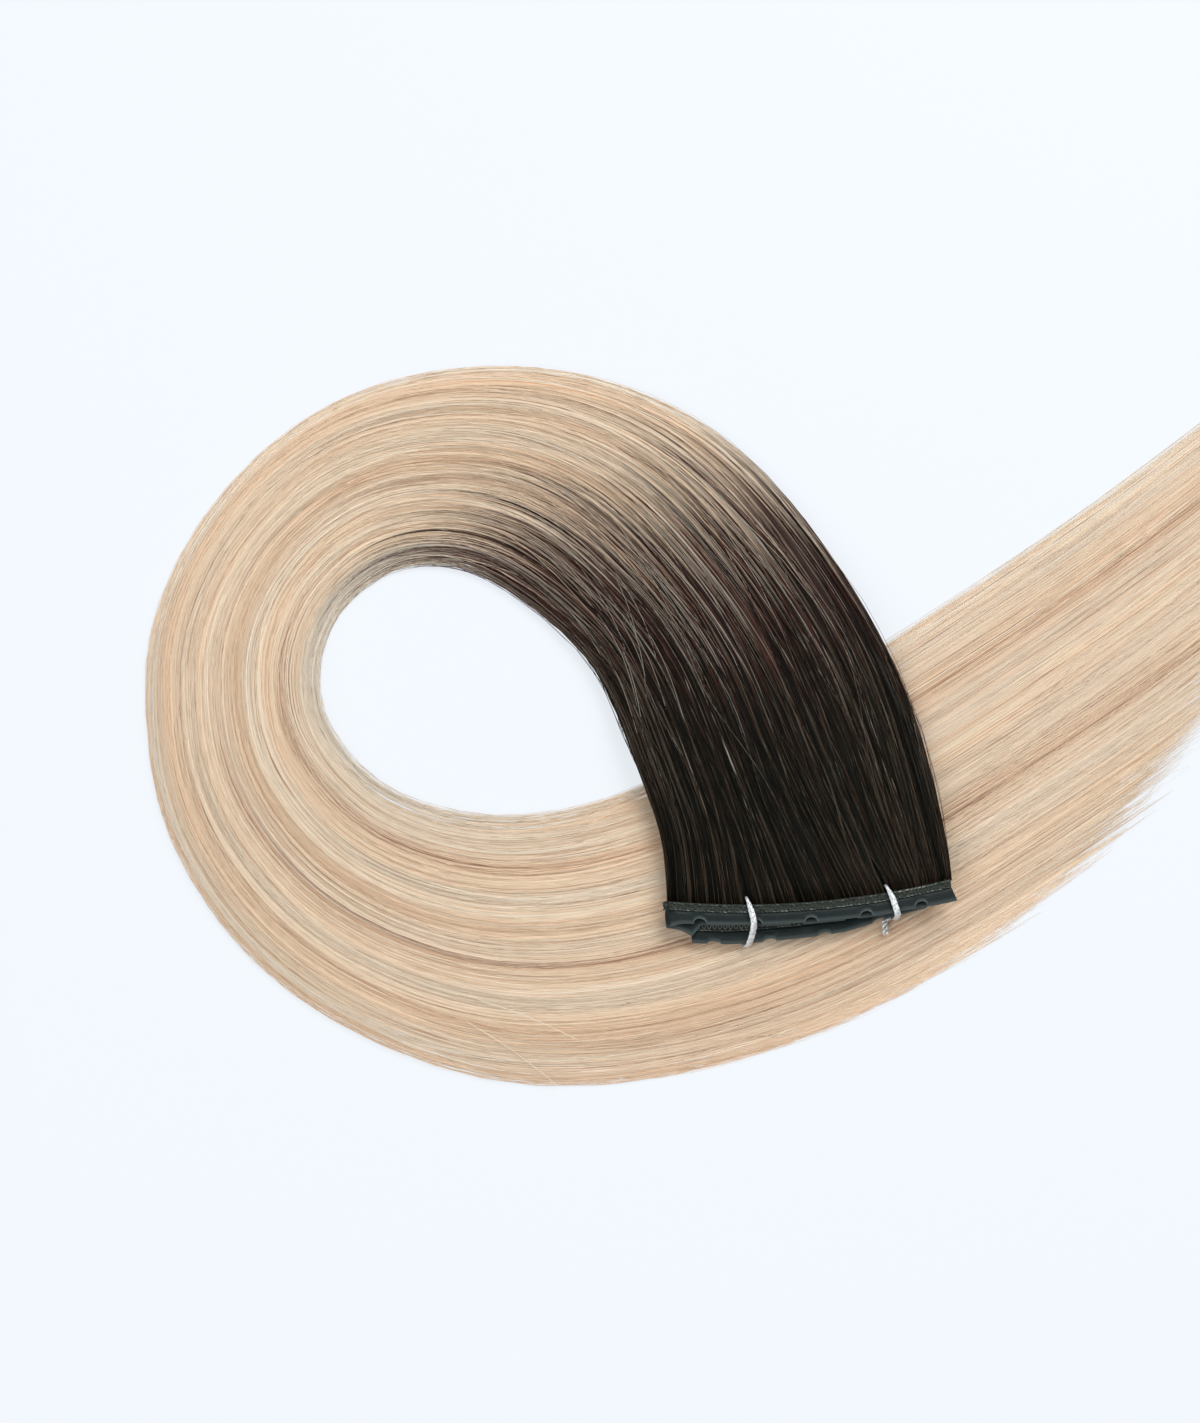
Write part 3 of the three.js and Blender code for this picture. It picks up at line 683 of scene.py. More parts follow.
def shine(row, across):
    """Where the bend catches the light, among the dark hairs."""
    # Painted highlight: wisps chosen here get lighter, greyer roots, standing in for the light that the
    # bend catches.
    bend = np.exp(-((row - 5.3) / 1.8) ** 2)
    return bend * smoothstep(0.1, 0.42, across) * fade(0.72, 0.98, across)


print("warmth across row 12:", warmth(np.array(12.0), across_fine[::8]).round(2))

# %% [markdown]
# ## Body of the hair
# Under the strands lies one closed body, so that no light or floor shows through the hair. Many more
# strands would close the hair too, but the body costs far fewer faces. It is a little lower than the
# strands' surface and is coloured in the same way, except for painted shade where it shows between
# strands: its roots are darker, its blonde is warmer, and it is darker still in the partings. Its rows,
# and the strands' stations, lie closer together where the hair turns.

# %% Stations along the hair
BY_LENGTH, BY_TURNING, BY_ROOT = 0.28, 0.55, 0.17
ROOT_ROWS, LEADING_COLUMN = 4, 24

line, line_steps = grid[:, LEADING_COLUMN], steps[:, LEADING_COLUMN]
heading = np.unwrap(np.arctan2(np.diff(line[:, 1]), np.diff(line[:, 0])))
turning = np.abs(np.diff(heading, prepend=heading[0]))
near_root = rows_fine[1:] < ROOT_ROWS
spacing = (BY_LENGTH * line_steps / line_steps.sum() + BY_TURNING * turning / turning.sum()
           + BY_ROOT * near_root / near_root.sum())
station_share = np.concatenate([[0], np.cumsum(spacing)])


def station_rows(last_row, count, offset=0.0):
    """Rows from 0 to each given last row, closer together where the hair turns. The offset moves all
    but the two ends, as a part of the spacing, so that neighbours don't bend at the same places."""
    ends = np.interp(last_row, rows_fine, station_share)
    share = np.tile(np.linspace(0, 1, count), (len(ends), 1))
    share[:, 1:-1] += np.broadcast_to(offset, len(ends))[:, None] / (count - 1)
    return np.interp(ends[:, None] * share, station_share, rows_fine)


print("rows of nine stations:", station_rows(np.array([LAST_ROW]), 9).round(1))

# %% Make the body under the strands
BODY_COLUMNS, BODY_ROWS = 52, 200
BODY_BELOW, BODY_SHORTER, BODY_INSET = 0.18, 14, 0.042
BODY_OFF_FLOOR, BODY_THINNEST, GROOVE_DEPTH = 0.05, 0.25, 1.4

across = np.linspace(0.012, 0.988, BODY_COLUMNS)
row = station_rows(row_at_run(reach(across) - BODY_SHORTER, across), BODY_ROWS).T
inset = BODY_INSET * smoothstep(5, 9, row)
across = inset + (1 - 2 * inset) * across
run = run_at(row, across)
end_thin = 0.4 + 0.6 * smoothstep(0, 16, reach(across) - BODY_SHORTER - run)
below = BODY_BELOW * (1 - 0.4 * smoothstep(7, 12, row) - 0.25 * smoothstep(15, 19, row))
top = (crown(row, across, run) - below) * end_thin - GROOVE_DEPTH * groove(row, across)
low = ribbon(row, across)
high = low.copy()
high[..., 2] += np.maximum(top, BODY_THINNEST)
low[..., 2] += BODY_OFF_FLOOR
both = lambda values: np.concatenate([values, values[:, ::-1]], axis=1)[None]
# Painted shade where the body shows between strands: its roots are darker and its warmth higher than the
# strands', and it darkens further in the partings.
hair_body = tube_piece("hair_body", np.concatenate([low, high[:, ::-1]], axis=1)[None], {
    "along": both(run / HAIR_LENGTH),
    "across": both(across),
    "root": both(0.26 + 0.5 * lock_root(row, across) - 0.24 * groove(row, across)),
    "tone": both(np.clip(0.48 + lock_tone(row, across), 0, 1)),
    "warm": both(0.25 + warmth(row, across)),
    "shift": both(lock_shift(across)),
})
dress(hair_body, hair_material, "hair", "hair")

# %% [markdown]
# ## Strands
# Each strand follows the ribbon at its own share of the width and its own depth below the surface.
# A few neighbours make a wisp, which shares a colour and drifts to and fro as one, so wisps cross at
# small angles as combed hair does. The tips end at different lengths and taper. Blender's hair system
# could comb them, but then their colours couldn't follow from where they run.

# %% Random draws for strands
def drift(count, stations, amount, waves):
    """Slow random waves along each strand, as an array of strands by stations."""
    at = np.linspace(0, 1, stations)[None, :]
    total = np.zeros((count, stations))
    for frequency in waves:
        phase = rng.uniform(0, TURN, (count, 1))
        size = rng.normal(0, 1, (count, 1)) * np.broadcast_to(amount, count)[:, None]
        rate = frequency * rng.uniform(0.8, 1.2, (count, 1))
        total += size / frequency ** 0.7 * np.sin(TURN * rate * at + phase)
    return total


def strand_draws(wisp):
    """Draws for strands in numbered wisps: each its own, one for each wisp, a range for some of the
    strands, and a choice of some of the wisps."""
    count, wisps = len(wisp), wisp.max() + 1
    own = lambda spread: rng.normal(0, spread, (count, 1))
    shared = lambda spread: rng.normal(0, spread, (wisps, 1))[wisp]
    some = lambda part, low, high: (rng.random((count, 1)) < part) * rng.uniform(low, high, (count, 1))
    chosen = lambda part: (rng.random((wisps, 1)) < part)[wisp]
    return own, shared, some, chosen


print("draws for strands come from", type(rng.bit_generator).__name__)

# %% Stations of the strands
LENGTH_SPREAD, BROKEN_SHARE, BROKEN_LEAST = 0.011, 0.12, 0.93


def strand_rows(start, stations, tail):
    """The rows of each strand's stations, from the track, or from a tail's length before the tip."""
    length = reach(start) * (1 + rng.normal(0, LENGTH_SPREAD, len(start)))
    broken = rng.random(len(start)) < BROKEN_SHARE
    length = np.where(broken, length * rng.uniform(BROKEN_LEAST, 1, len(start)), length)
    row = station_rows(row_at_run(length, start), stations, start * 7919 % 1 - 0.5)
    if tail:
        first = row_at_run(length - tail, start)[:, None]
        row = first + (row[:, -1:] - first) * np.linspace(0, 1, stations)
    return row


print("broken hairs:", BROKEN_SHARE, "of all, and at least", BROKEN_LEAST, "as long")

# %% Places of the strands across the hair
SIDE_LIMIT, SIDE_LIMIT_SPREAD = 0.003, 0.022


def strand_across(row, start, wisp, wander, stray, swing):
    """The share across at each station. A strand that reaches its own limit at the side turns back."""
    count, stations = row.shape
    waves = drift(wisp.max() + 1, stations, wander, (1.2, 2.6, 5.1))[wisp]
    waves = waves + drift(count, stations, 1, (1.5, 4.1)) * (0.002 + 0.01 * smoothstep(13, 21, row))
    across = combed(row, start[:, None]) + waves * smoothstep(0, 2.5, row)
    crossing = np.sin(rng.uniform(0.5, 0.9, (count, 1)) * row + rng.uniform(0, TURN, (count, 1)))
    in_bend = smoothstep(1.5, 3.5, row) * fade(8, 12, row)
    across += swing * rng.normal(0, 1, (count, 1)) * crossing * in_bend
    limit = SIDE_LIMIT - stray + SIDE_LIMIT_SPREAD * (start[:, None] * 5003 % 1) * smoothstep(4, 9, row)
    across = limit + np.abs(across - limit)
    across = 1 - limit - np.abs(1 - limit - across)
    return across + parting(row, start[:, None])


print("strands turn back up to", (SIDE_LIMIT + SIDE_LIMIT_SPREAD) * FOLDED_WIDTH, "mm from a side")

# %% Points of the strands
WISP_RISE, DEEPEST_OFF_FLOOR = 0.03, 0.15


def strand_points(row, across, run, wisp, depth):
    """Points of each strand at its depth below the hair's surface, in millimetres."""
    points = ribbon(row, across)
    below = drift(wisp.max() + 1, row.shape[1], WISP_RISE, (1.1, 2.3))[wisp]
    flatter = 1 - 0.35 * smoothstep(7, 12, row) - 0.35 * smoothstep(16, 20, row)
    below = np.maximum((depth[:, None] + below) * flatter, depth.min() - 0.05)
    points[..., 2] += np.maximum(crown(row, across, run) - below, DEEPEST_OFF_FLOOR)
    return points


sample_row = station_rows(np.array([LAST_ROW]), 4)
print("a hair in the middle lies at", ribbon(sample_row, np.full((1, 4), 0.5)).round(0).tolist(), "mm")

# %% Strands as tubes
TAPER, TAPER_TO, INTO_TRACK = 22, 0.3, 0.9
TRACK_SIDE = np.array([-math.sin(EDGE_ANGLE), math.cos(EDGE_ANGLE)])


def strands(name, stations, start, wisp, depth, radius, wander, stray=0, swing=0, early=0, glint=0.16,
            tail=0):
    """Strands that leave the track at the given shares across, each in the wisp of that number.
    Stray is how far outside the hair they may drift and swing how far they cross over others in the
    bend, as shares of its width. Early is how much sooner they turn blonde, as a share of the length,
    and glint is the share of them that stand out light in the bend. With a tail, only that many
    millimetres before the tips are made."""
    own, shared, some, chosen = strand_draws(wisp)
    row = strand_rows(start, stations, tail)
    across = strand_across(row, start, wisp, wander, stray, swing)
    run = run_at(row, across)
    points = strand_points(row, across, run, wisp, depth)
    if not tail:
        points[:, 0, :2] -= INTO_TRACK * TRACK_SIDE
    to_tip = run - run[:, -1:]
    width = radius[:, None] * (1 - (1 - TAPER_TO) * smoothstep(-TAPER, 0, to_tip))
    tone = 0.52 + shared(0.105) + own(0.11) + lock_tone(row, across) + 0.12 * smoothstep(-50, 0, to_tip)
    # A few strands are paler, and a few wisps are darker as painted shade: the thin shadow lines between
    # bundles of hair.
    tone += some(0.06, 0.1, 0.35) - chosen(0.05) * some(1, 0.15, 0.35)
    palest = 0.74 + 0.06 * smoothstep(0.4, 2.5, row)
    root = np.clip(0.36 + shared(0.165) + own(0.18) + lock_root(row, across), 0.05, palest)
    root = root + some(0.05, 0.1, 0.3) * smoothstep(0.3, 3, row)
    # Painted highlight: in the bend, some chosen wisps are coloured lighter.
    root = root + shine(row, across) * chosen(glint) * some(1, 0.25, 0.85)
    return tube_piece(name, rings_along(points, width, 3, rng.uniform(0, TURN, len(start))), {
        "along": run / HAIR_LENGTH,
        "across": across,
        "root": np.clip(root, 0, 1),
        "tone": np.clip(tone, 0, 1),
        "warm": warmth(row, across) + shared(0.15) + own(0.1),
        "shift": lock_shift(across) + np.clip(shared(0.014) + own(0.022), -0.045, 0.044) - early,
    })


print("strands taper to", TAPER_TO, "of their thickness over", TAPER, "mm")

# %% Make the strands
STRAND_PIECES, STRANDS_EACH, WISPS_EACH, STATIONS = 5, 235, 52, 100
EDGE_DENSITY, EDGE_THINS_OVER = 0.06, 0.062

total = STRAND_PIECES * STRANDS_EACH
even = np.linspace(0, 1, 201)
density = np.diff((even + combed(np.array(COMBED_BY_ROW), even)) / 2, prepend=0)
density *= EDGE_DENSITY + (1 - EDGE_DENSITY) * smoothstep(0, EDGE_THINS_OVER, edge_share(even))
starts = np.interp((np.arange(total) + rng.uniform(0, 1, total)) / total,
                   np.cumsum(density) / density.sum(), even)
starts = np.sort(np.clip(starts, 0.004, 0.996))
for place in range(STRAND_PIECES):
    wisp = np.sort(rng.integers(0, WISPS_EACH, STRANDS_EACH))
    depth = np.minimum(rng.exponential(0.09, WISPS_EACH), 0.28)[wisp]
    depth = depth + rng.uniform(-0.08, 0.08, STRANDS_EACH)
    radius = rng.uniform(0.08, 0.14, STRANDS_EACH)
    wander = np.where(rng.random(WISPS_EACH) < 0.15, 0.03, 0.009)
    piece = strands(f"hair_strands_{place + 1}", STATIONS,
                    starts[place * STRANDS_EACH:(place + 1) * STRANDS_EACH], wisp, depth, radius, wander)
    dress(piece, hair_material, "hair", "hair")

# %% [markdown]
# ## Loose hairs and tips
# Finer hairs have come loose and stand off a little, each on its own, and some of them make the soft
# fringe at the two sides. At the tips the hair ends in short fine points. All of them could be drawn
# one by one, but they are strands too, in wisps of one, so the same function makes them.

# %% Loose hairs
LOOSE_HAIRS, LOOSE_STATIONS = 280, 52
EDGE_HAIRS, EDGE_SPREAD = 60, 0.022

at_edge = np.arange(LOOSE_HAIRS) < EDGE_HAIRS
starts = rng.uniform(0, 1, LOOSE_HAIRS)
starts[at_edge] = np.abs(rng.normal(0, EDGE_SPREAD, EDGE_HAIRS))
starts[:EDGE_HAIRS // 2] = 1 - starts[:EDGE_HAIRS // 2]
loose = strands("hair_loose", LOOSE_STATIONS, np.clip(starts, 0, 1), np.arange(LOOSE_HAIRS),
                rng.uniform(-0.22, 0.1, LOOSE_HAIRS), rng.uniform(0.04, 0.07, LOOSE_HAIRS), 0.012,
                stray=0.014, swing=np.where(at_edge, 0.006, 0.04)[:, None],
                early=np.where(at_edge, 0, 0.02)[:, None], glint=0.6)
dress(loose, hair_material, "hair", "hair")

# %% Tips
TIP_HAIRS, TIP_STATIONS, TIP_LENGTH = 420, 18, 80

tips = strands("hair_tips", TIP_STATIONS, rng.uniform(0.3, 1, TIP_HAIRS) ** 0.8, np.arange(TIP_HAIRS),
               rng.uniform(-0.05, 0.25, TIP_HAIRS), rng.uniform(0.06, 0.1, TIP_HAIRS), 0.006,
               tail=TIP_LENGTH)
dress(tips, hair_material, "hair", "hair")

# %% [markdown]
# ## Hairs on the sides of the roots
# Near the track the hair is a thick slab, and from a low angle its two upright sides show. The strands
# lie on top, so short ones are laid on the sides too, at heights spread from bottom to top. A bump in
# the body's material could hint at them, but then the slab's outline would stay smooth.

# %% Sides of the roots
SIDE_HAIRS, SIDE_STATIONS, SIDE_INTO_TRACK = 58, 24, 0.5

count = 2 * SIDE_HAIRS
own = strand_draws(np.arange(count))[0]
share = np.linspace(0, 1, SIDE_STATIONS)
row = rng.uniform(4, 8, (count, 1)) * share
across = rng.uniform(0.001, 0.011, (count, 1)) + drift(count, SIDE_STATIONS, 0.002, (1.0, 2.3))
across = np.where(np.arange(count)[:, None] < SIDE_HAIRS, np.abs(across), 1 - np.abs(across))
run = run_at(row, across)
tall = np.sort(rng.uniform(0.03, 0.95, (2, SIDE_HAIRS)), axis=1).reshape(count, 1)
tall = tall + drift(count, SIDE_STATIONS, 0.02, (1.2, 2.1))
points = ribbon(row, across)
points[..., 2] += 0.1 + crown(row, across, run) * tall
points[:, 0, :2] -= SIDE_INTO_TRACK * TRACK_SIDE
width = rng.uniform(0.08, 0.13, (count, 1)) * (1 - (1 - TAPER_TO) * smoothstep(0.6, 1, share))
sides = tube_piece("hair_sides", rings_along(points, width, 3, rng.uniform(0, TURN, count)), {
    "along": run / HAIR_LENGTH,
    "across": across,
    "root": np.clip(0.42 + own(0.17) + lock_root(row, across), 0.05, 0.8),
    "tone": np.clip(0.52 + own(0.13) + lock_tone(row, across), 0, 1),
    "warm": warmth(row, across) + own(0.15),
    "shift": lock_shift(across) + np.clip(own(0.025), -0.045, 0.044),
})
dress(sides, hair_material, "hair", "hair")

# %% [markdown]
# ## Hairs that have strayed
# A few single hairs lie across the others: two blonde ones at the bottom of the loop, and short pale
# ones that cross the dark bend. Loose hairs all run with the ribbon, so these get paths of their own:
# an arched line for the blonde ones, and a slant across the ribbon for those in the bend.

# %% Strayed hairs
BEND_STRAYS, STRAY_STATIONS = 16, 16
BLONDE_FROM = np.array([(-75.0, -21.4, 5.2), (-77.3, -26.4, 5.0)])[:, None]
BLONDE_TO = np.array([(-51.9, -30.7, 4.7), (-56.6, -40.7, 1.3)])[:, None]
BLONDE_ARCH, BEND_ARCH, BEND_SUNK = np.array([0.3, 0.5, 0.5]), 0.35, 0.1

share = np.linspace(0, 1, STRAY_STATIONS)
arched = np.sin(np.pi * share)
blonde = BLONDE_FROM + (BLONDE_TO - BLONDE_FROM) * share[:, None] + BLONDE_ARCH * arched[:, None]
row = rng.uniform(2.8, 5.2, (BEND_STRAYS, 1)) + rng.uniform(1.3, 2.3, (BEND_STRAYS, 1)) * share
across = rng.uniform(0.02, 0.26, (BEND_STRAYS, 1)) + rng.uniform(0.02, 0.15, (BEND_STRAYS, 1)) * share
in_bend = ribbon(row, across)
in_bend[..., 2] += crown(row, across, run_at(row, across)) + BEND_ARCH * arched - BEND_SUNK

centres = np.concatenate([blonde, in_bend])
is_blonde = np.arange(len(centres))[:, None] < len(blonde)
each = lambda on_blonde, on_others: np.where(is_blonde, on_blonde, on_others) * np.ones(STRAY_STATIONS)
astray = tube_piece("hair_astray", rings_along(centres, each(0.08, 0.06), 4), {
    "along": each(0.8, 0.1), "across": each(0.8, 0.2), "root": each(0.5, 0.97), "tone": each(1.0, 1.0),
    "warm": each(-0.2, -0.2), "shift": each(0.0, 0.0)})
dress(astray, hair_material, "hair", "hair")

# %% [markdown]
# ## The folded edge
# Track and tape are one long strip, folded like a letter into three panels. A modifier could bend a
# flat strip, but here a run along the strip tells where the strip is and how far its face has turned
# over, so the stitches and the tape can be laid out flat and still follow the folds. The lowest panel
# has slipped out towards the viewer.

# %% Sizes of the folded strip
PANEL_HEIGHTS = 9.75, 8.05, 6.35
TRACK_LOW, TRACK_HIGH, TRACK_THICK = 0.8, 2.8, 1.2
FOLD_RADIUS = 0.85
RIGHT_END, LEFT_FOLD, RIGHT_FOLD, LOW_END = 32.25, -31.4, 29.9, -26.95
SLIP_AT, SLIP_OUT = (-27, -18, -8, 8, 19, 29), (4.0, 3.9, 3.2, 2.4, 0.5, 0)

fold = math.pi * FOLD_RADIUS
stretches = [RIGHT_END - LEFT_FOLD, fold, RIGHT_FOLD - LEFT_FOLD, fold, RIGHT_FOLD - LOW_END]
TOP_ENDS, MIDDLE_STARTS, MIDDLE_ENDS, LOW_STARTS, RUN_LENGTH = np.cumsum(stretches)
print("strip length:", round(RUN_LENGTH, 1), "mm")

# %% Places on the folded strip
def to_world(along, across, height):
    """From the folded edge's own frame to the shared one."""
    cos, sin = math.cos(EDGE_ANGLE), math.sin(EDGE_ANGLE)
    return np.stack([along * cos - across * sin, along * sin + across * cos, height], -1)


def slip(along):
    """How far the lowest panel has slipped out at a place along it."""
    return np.interp(along, SLIP_AT, SLIP_OUT)


def folded(run, across, over):
    """Points at a run along the strip, a distance across it and a height over its face."""
    run, across, over = np.broadcast_arrays(run, across, over)
    inside = [run < TOP_ENDS, run < MIDDLE_STARTS, run < MIDDLE_ENDS, run < LOW_STARTS]
    left_turn, right_turn = (run - TOP_ENDS) / FOLD_RADIUS, (run - MIDDLE_ENDS) / FOLD_RADIUS
    low_along = RIGHT_FOLD - (run - LOW_STARTS)
    along = np.select(inside, [RIGHT_END - run, LEFT_FOLD - FOLD_RADIUS * np.sin(left_turn),
                               LEFT_FOLD + run - MIDDLE_STARTS,
                               RIGHT_FOLD + FOLD_RADIUS * np.sin(right_turn)], low_along)
    top, middle, lowest = [np.full(run.shape, height) for height in PANEL_HEIGHTS]
    height = np.select(inside, [top, (top + middle) / 2 + FOLD_RADIUS * np.cos(left_turn), middle,
                                (middle + lowest) / 2 + FOLD_RADIUS * np.cos(right_turn)], lowest)
    turn = np.select(inside, [np.zeros(run.shape), left_turn, np.full(run.shape, np.pi),
                              np.pi - right_turn], 0.0)
    out = np.where(run >= LOW_STARTS, slip(low_along), 0)
    return to_world(along + over * np.sin(turn), across - out + bow(along), height + over * np.cos(turn))


print("the strip starts at", folded(0.0, 0.0, 0.0).round(1), "and ends at",
      folded(RUN_LENGTH, 0.0, 0.0).round(1), "mm")

# %% [markdown]
# ## Roots of the panel that has slipped out
# The lowest panel brings its own hair out with it, and the roots show as a dark band behind its track.
# Strands could be sewn in here as well, but only the top of the band can be seen, so one plain closed
# strip in the hair's root colour is enough.

# %% Low roots
LOW_STATIONS, LOW_HALF_THICK, LOW_DEEP = 60, 0.45, 2

along = np.linspace(LOW_END, RIGHT_FOLD - 0.9, LOW_STATIONS)
front = TRACK_HIGH + 0.1 - slip(along) + bow(along)
back = TRACK_HIGH + LOW_DEEP + bow(along)
above = np.full(LOW_STATIONS, PANEL_HEIGHTS[2] + LOW_HALF_THICK)
under = np.full(LOW_STATIONS, PANEL_HEIGHTS[2] - LOW_HALF_THICK)
ring = np.stack([to_world(along, front, above), to_world(along, back, above),
                 to_world(along, back, under), to_world(along, front, under)], axis=1)
same = lambda value: np.full((1, LOW_STATIONS), value)
low_roots = tube_piece("hair_low_roots", ring[None], {
    "along": same(0.01), "across": along[None] / FOLDED_WIDTH + 0.5, "root": same(0.35),
    "tone": same(0.5), "warm": same(0.0), "shift": same(0.0)})
dress(low_roots, hair_material, "hair", "hair")

# %% [markdown]
# ## Track
# The track is the seam that holds the hair roots: a soft dark cord with the hair ends packed in it.
# Rows of short stitches run along its two sides, with a fine zigzag between them. A texture could show
# the thread, but it is modelled, because light catches each stitch.

# %% Cord of the track
CORD_STATIONS, CORD_SIDES, CORD_FULLNESS = 420, 18, 0.95

runs = np.linspace(0, RUN_LENGTH, CORD_STATIONS)[:, None]
angle = np.linspace(0, 2 * np.pi, CORD_SIDES, endpoint=False)[None, :]
squared = lambda values, power: np.sign(values) * np.abs(values) ** power
ripple = 1 + 0.05 * np.sin(runs * 5.4 + 3 * angle) + 0.03 * np.sin(runs * 2.1 - 2 * angle)
cord_across = (TRACK_LOW + TRACK_HIGH) / 2 + (TRACK_HIGH - TRACK_LOW) / 2 * squared(np.cos(angle), 0.35)
cord_over = CORD_FULLNESS * TRACK_THICK / 2 * squared(np.sin(angle), 0.5) * ripple
track = tube_piece("track_cord", folded(runs, cord_across, cord_over)[None], {
    "along": np.broadcast_to(runs, ripple.shape)[None],
    "across": np.broadcast_to(cord_across, ripple.shape)[None]})
print("cord:", len(track.data.vertices), "points")

# %% Thread on the strip
THREAD_SIDES = 5


def thread(name, runs, across, over, radius, shade):
    """Tubes of thread on the strip. Runs, across, over and shade are tubes by stations."""
    centres = folded(runs, across, over)
    rings = rings_along(centres, np.full(centres.shape[:2], radius), THREAD_SIDES, upright=(*TRACK_SIDE, 0))
    return tube_piece(name, rings, {"shade": np.broadcast_to(shade, centres.shape[:2])})


def joined(name, pieces):
    """One object from several, which keep their maps and numbers."""
    bpy.ops.object.select_all(action="DESELECT")
    for piece in pieces:
        piece.select_set(True)
    bpy.context.view_layer.objects.active = pieces[0]
    bpy.ops.object.join()
    pieces[0].name = pieces[0].data.name = name
    return pieces[0]


print("sides of a thread:", THREAD_SIDES)

# %% Stitches and zigzag
STITCH_PITCH, STITCH_LENGTH, STITCH_RADIUS, STITCH_STATIONS = 0.92, 0.7, 0.12, 5
STITCH_ROWS = [  # place across, lean, stands proud by, palest shade, paler at the end by
    (TRACK_LOW + 0.2, 0.1, 0, 0.7, 0), (TRACK_HIGH - 0.42, -0.1, 0.1, 0.6, 0.45)]
PALE_END_AT, PALE_END_REACH = 8.5, 3
ZIGZAG_STEP, ZIGZAG_STRIDE, ZIGZAG_RADIUS = 0.2, 0.6, 0.06

threads = []
part = np.linspace(0, 1, STITCH_STATIONS)[None, :]
for face in (1, -1):
    for place, lean, proud, palest, paler in STITCH_ROWS:
        first = np.arange(0.4, RUN_LENGTH - STITCH_PITCH, STITCH_PITCH)[:, None]
        first = first + rng.normal(0, 0.06, first.shape)
        across = place + lean * (part - 0.5) + rng.normal(0, 0.04, first.shape)
        over = TRACK_THICK / 2 + 0.16 * np.sin(np.pi * part) - 0.04 + proud
        shade = rng.uniform(palest - 0.6, palest, first.shape)
        shade = shade + paler * (np.abs(first - PALE_END_AT) < PALE_END_REACH)
        threads.append(thread("stitch", first + STITCH_LENGTH * part, across, face * over, STITCH_RADIUS,
                              shade))
    zigzag = np.arange(0.5, RUN_LENGTH - 0.5, ZIGZAG_STEP)[None]
    swing = np.abs(zigzag / ZIGZAG_STRIDE % 2 - 1)
    threads.append(thread("zigzag", zigzag, TRACK_LOW + 0.4 + 1.1 * swing,
                          face * (TRACK_THICK / 2 - 0.02), ZIGZAG_RADIUS,
                          np.where(zigzag > LOW_STARTS, 0.75, 0.08)))
print("stitches in each row:", len(first))
track_thread = joined("track_thread", threads)

# %% Materials of the track and the thread
CORD_COLOURS = [(0.0, (18, 22, 19)), (0.45, (43, 49, 44)), (0.75, (68, 72, 64)), (1.0, (104, 98, 86))]
THREAD_COLOURS = [(0.0, (34, 39, 36)), (0.55, (98, 106, 100)), (1.0, (190, 194, 184))]


def bump(tree, shader, height, strength, distance):
    """Bump on a shader from a height between 0 and 1. The distance is in metres."""
    made = node(tree, "ShaderNodeBump", {"Height": height, "Strength": strength, "Distance": distance})
    tree.links.new(made.outputs["Normal"], shader.inputs["Normal"])


track_material, tree, shader = new_material("track cord", {"Roughness": 0.75, "Specular IOR Level": 0.2})
fleck = flecked(tree, (5.5, 1.2, 1.0))
tree.links.new(ramp(tree, fleck, CORD_COLOURS), shader.inputs["Base Color"])
bump(tree, shader, fleck, 0.6, 0.2 * MM)
dress(track, track_material, "track_cloth", "track")

thread_material, tree, shader = new_material("thread", {"Roughness": 0.5, "Specular IOR Level": 0.3})
tree.links.new(ramp(tree, point_number(tree, "shade"), THREAD_COLOURS), shader.inputs["Base Color"])
dress(track_thread, thread_material, "track_cloth", "track")

# %% [markdown]
# ## Tape
# Below the track hangs a satin tape, folded in half along its row of punched holes. Each hole shows
# as a half-round notch with a raised lip. The lips, and a line along the folded rim, are painted pale
# as a highlight. A boolean could cut the notches, but the tape is a thin U in section, and its rim is
# simply drawn back where a hole is, which keeps the mesh closed.

# %% Rim and holes of the tape
SEAM, RIM = 0.95, -2.0
RIM_BULGES = [  # out by, at run, over a length of
    (1.3, TOP_ENDS + 1.3, 2.6), (0.4, 0, 6), (-0.2, 34, 16)]
TONGUE_AT, TONGUE_OUT = MIDDLE_STARTS + np.array([-0.5, 2.0, 5.0, 6.3]), (0, 1.2, 2.9, 0)
HOLE_RADIUS, HOLE_PITCH, HOLE_FIRST, HOLE_RAISED = 1.5, 12.5, 7.1, 0.1
TALL_HOLE, FLAT_HOLE = 0.88, 0.4
CREASE_AT, CREASE_REACH = MIDDLE_STARTS + 3.3, 1.5

# The tape is creased beside the left fold, which has shut the hole there.
holes = np.arange(HOLE_FIRST, RUN_LENGTH - HOLE_RADIUS, HOLE_PITCH)
holes = holes[np.abs(holes - CREASE_AT) >= CREASE_REACH]
hole_tall = np.where(holes < LOW_STARTS, TALL_HOLE, FLAT_HOLE)
arc = np.linspace(0, np.pi, 15)
runs = np.concatenate([np.linspace(0, RUN_LENGTH, 170)]
                      + [hole + HOLE_RADIUS * np.cos(arc) for hole in holes])
runs = np.unique(runs.round(3))[:, None]
rim = RIM - np.interp(runs, TONGUE_AT, TONGUE_OUT)
rim -= sum(out * np.exp(-((runs - at) / length) ** 2) for out, at, length in RIM_BULGES)
for hole, tall in zip(holes, hole_tall):
    inside = np.clip(HOLE_RADIUS ** 2 - (runs - hole) ** 2, 0, None)
    drawn_back = np.sqrt(inside) * tall + RIM + HOLE_RAISED
    rim = np.maximum(rim, np.where(inside > 0, drawn_back, -np.inf))
print("open holes:", len(holes), "and stations along the tape:", len(runs))

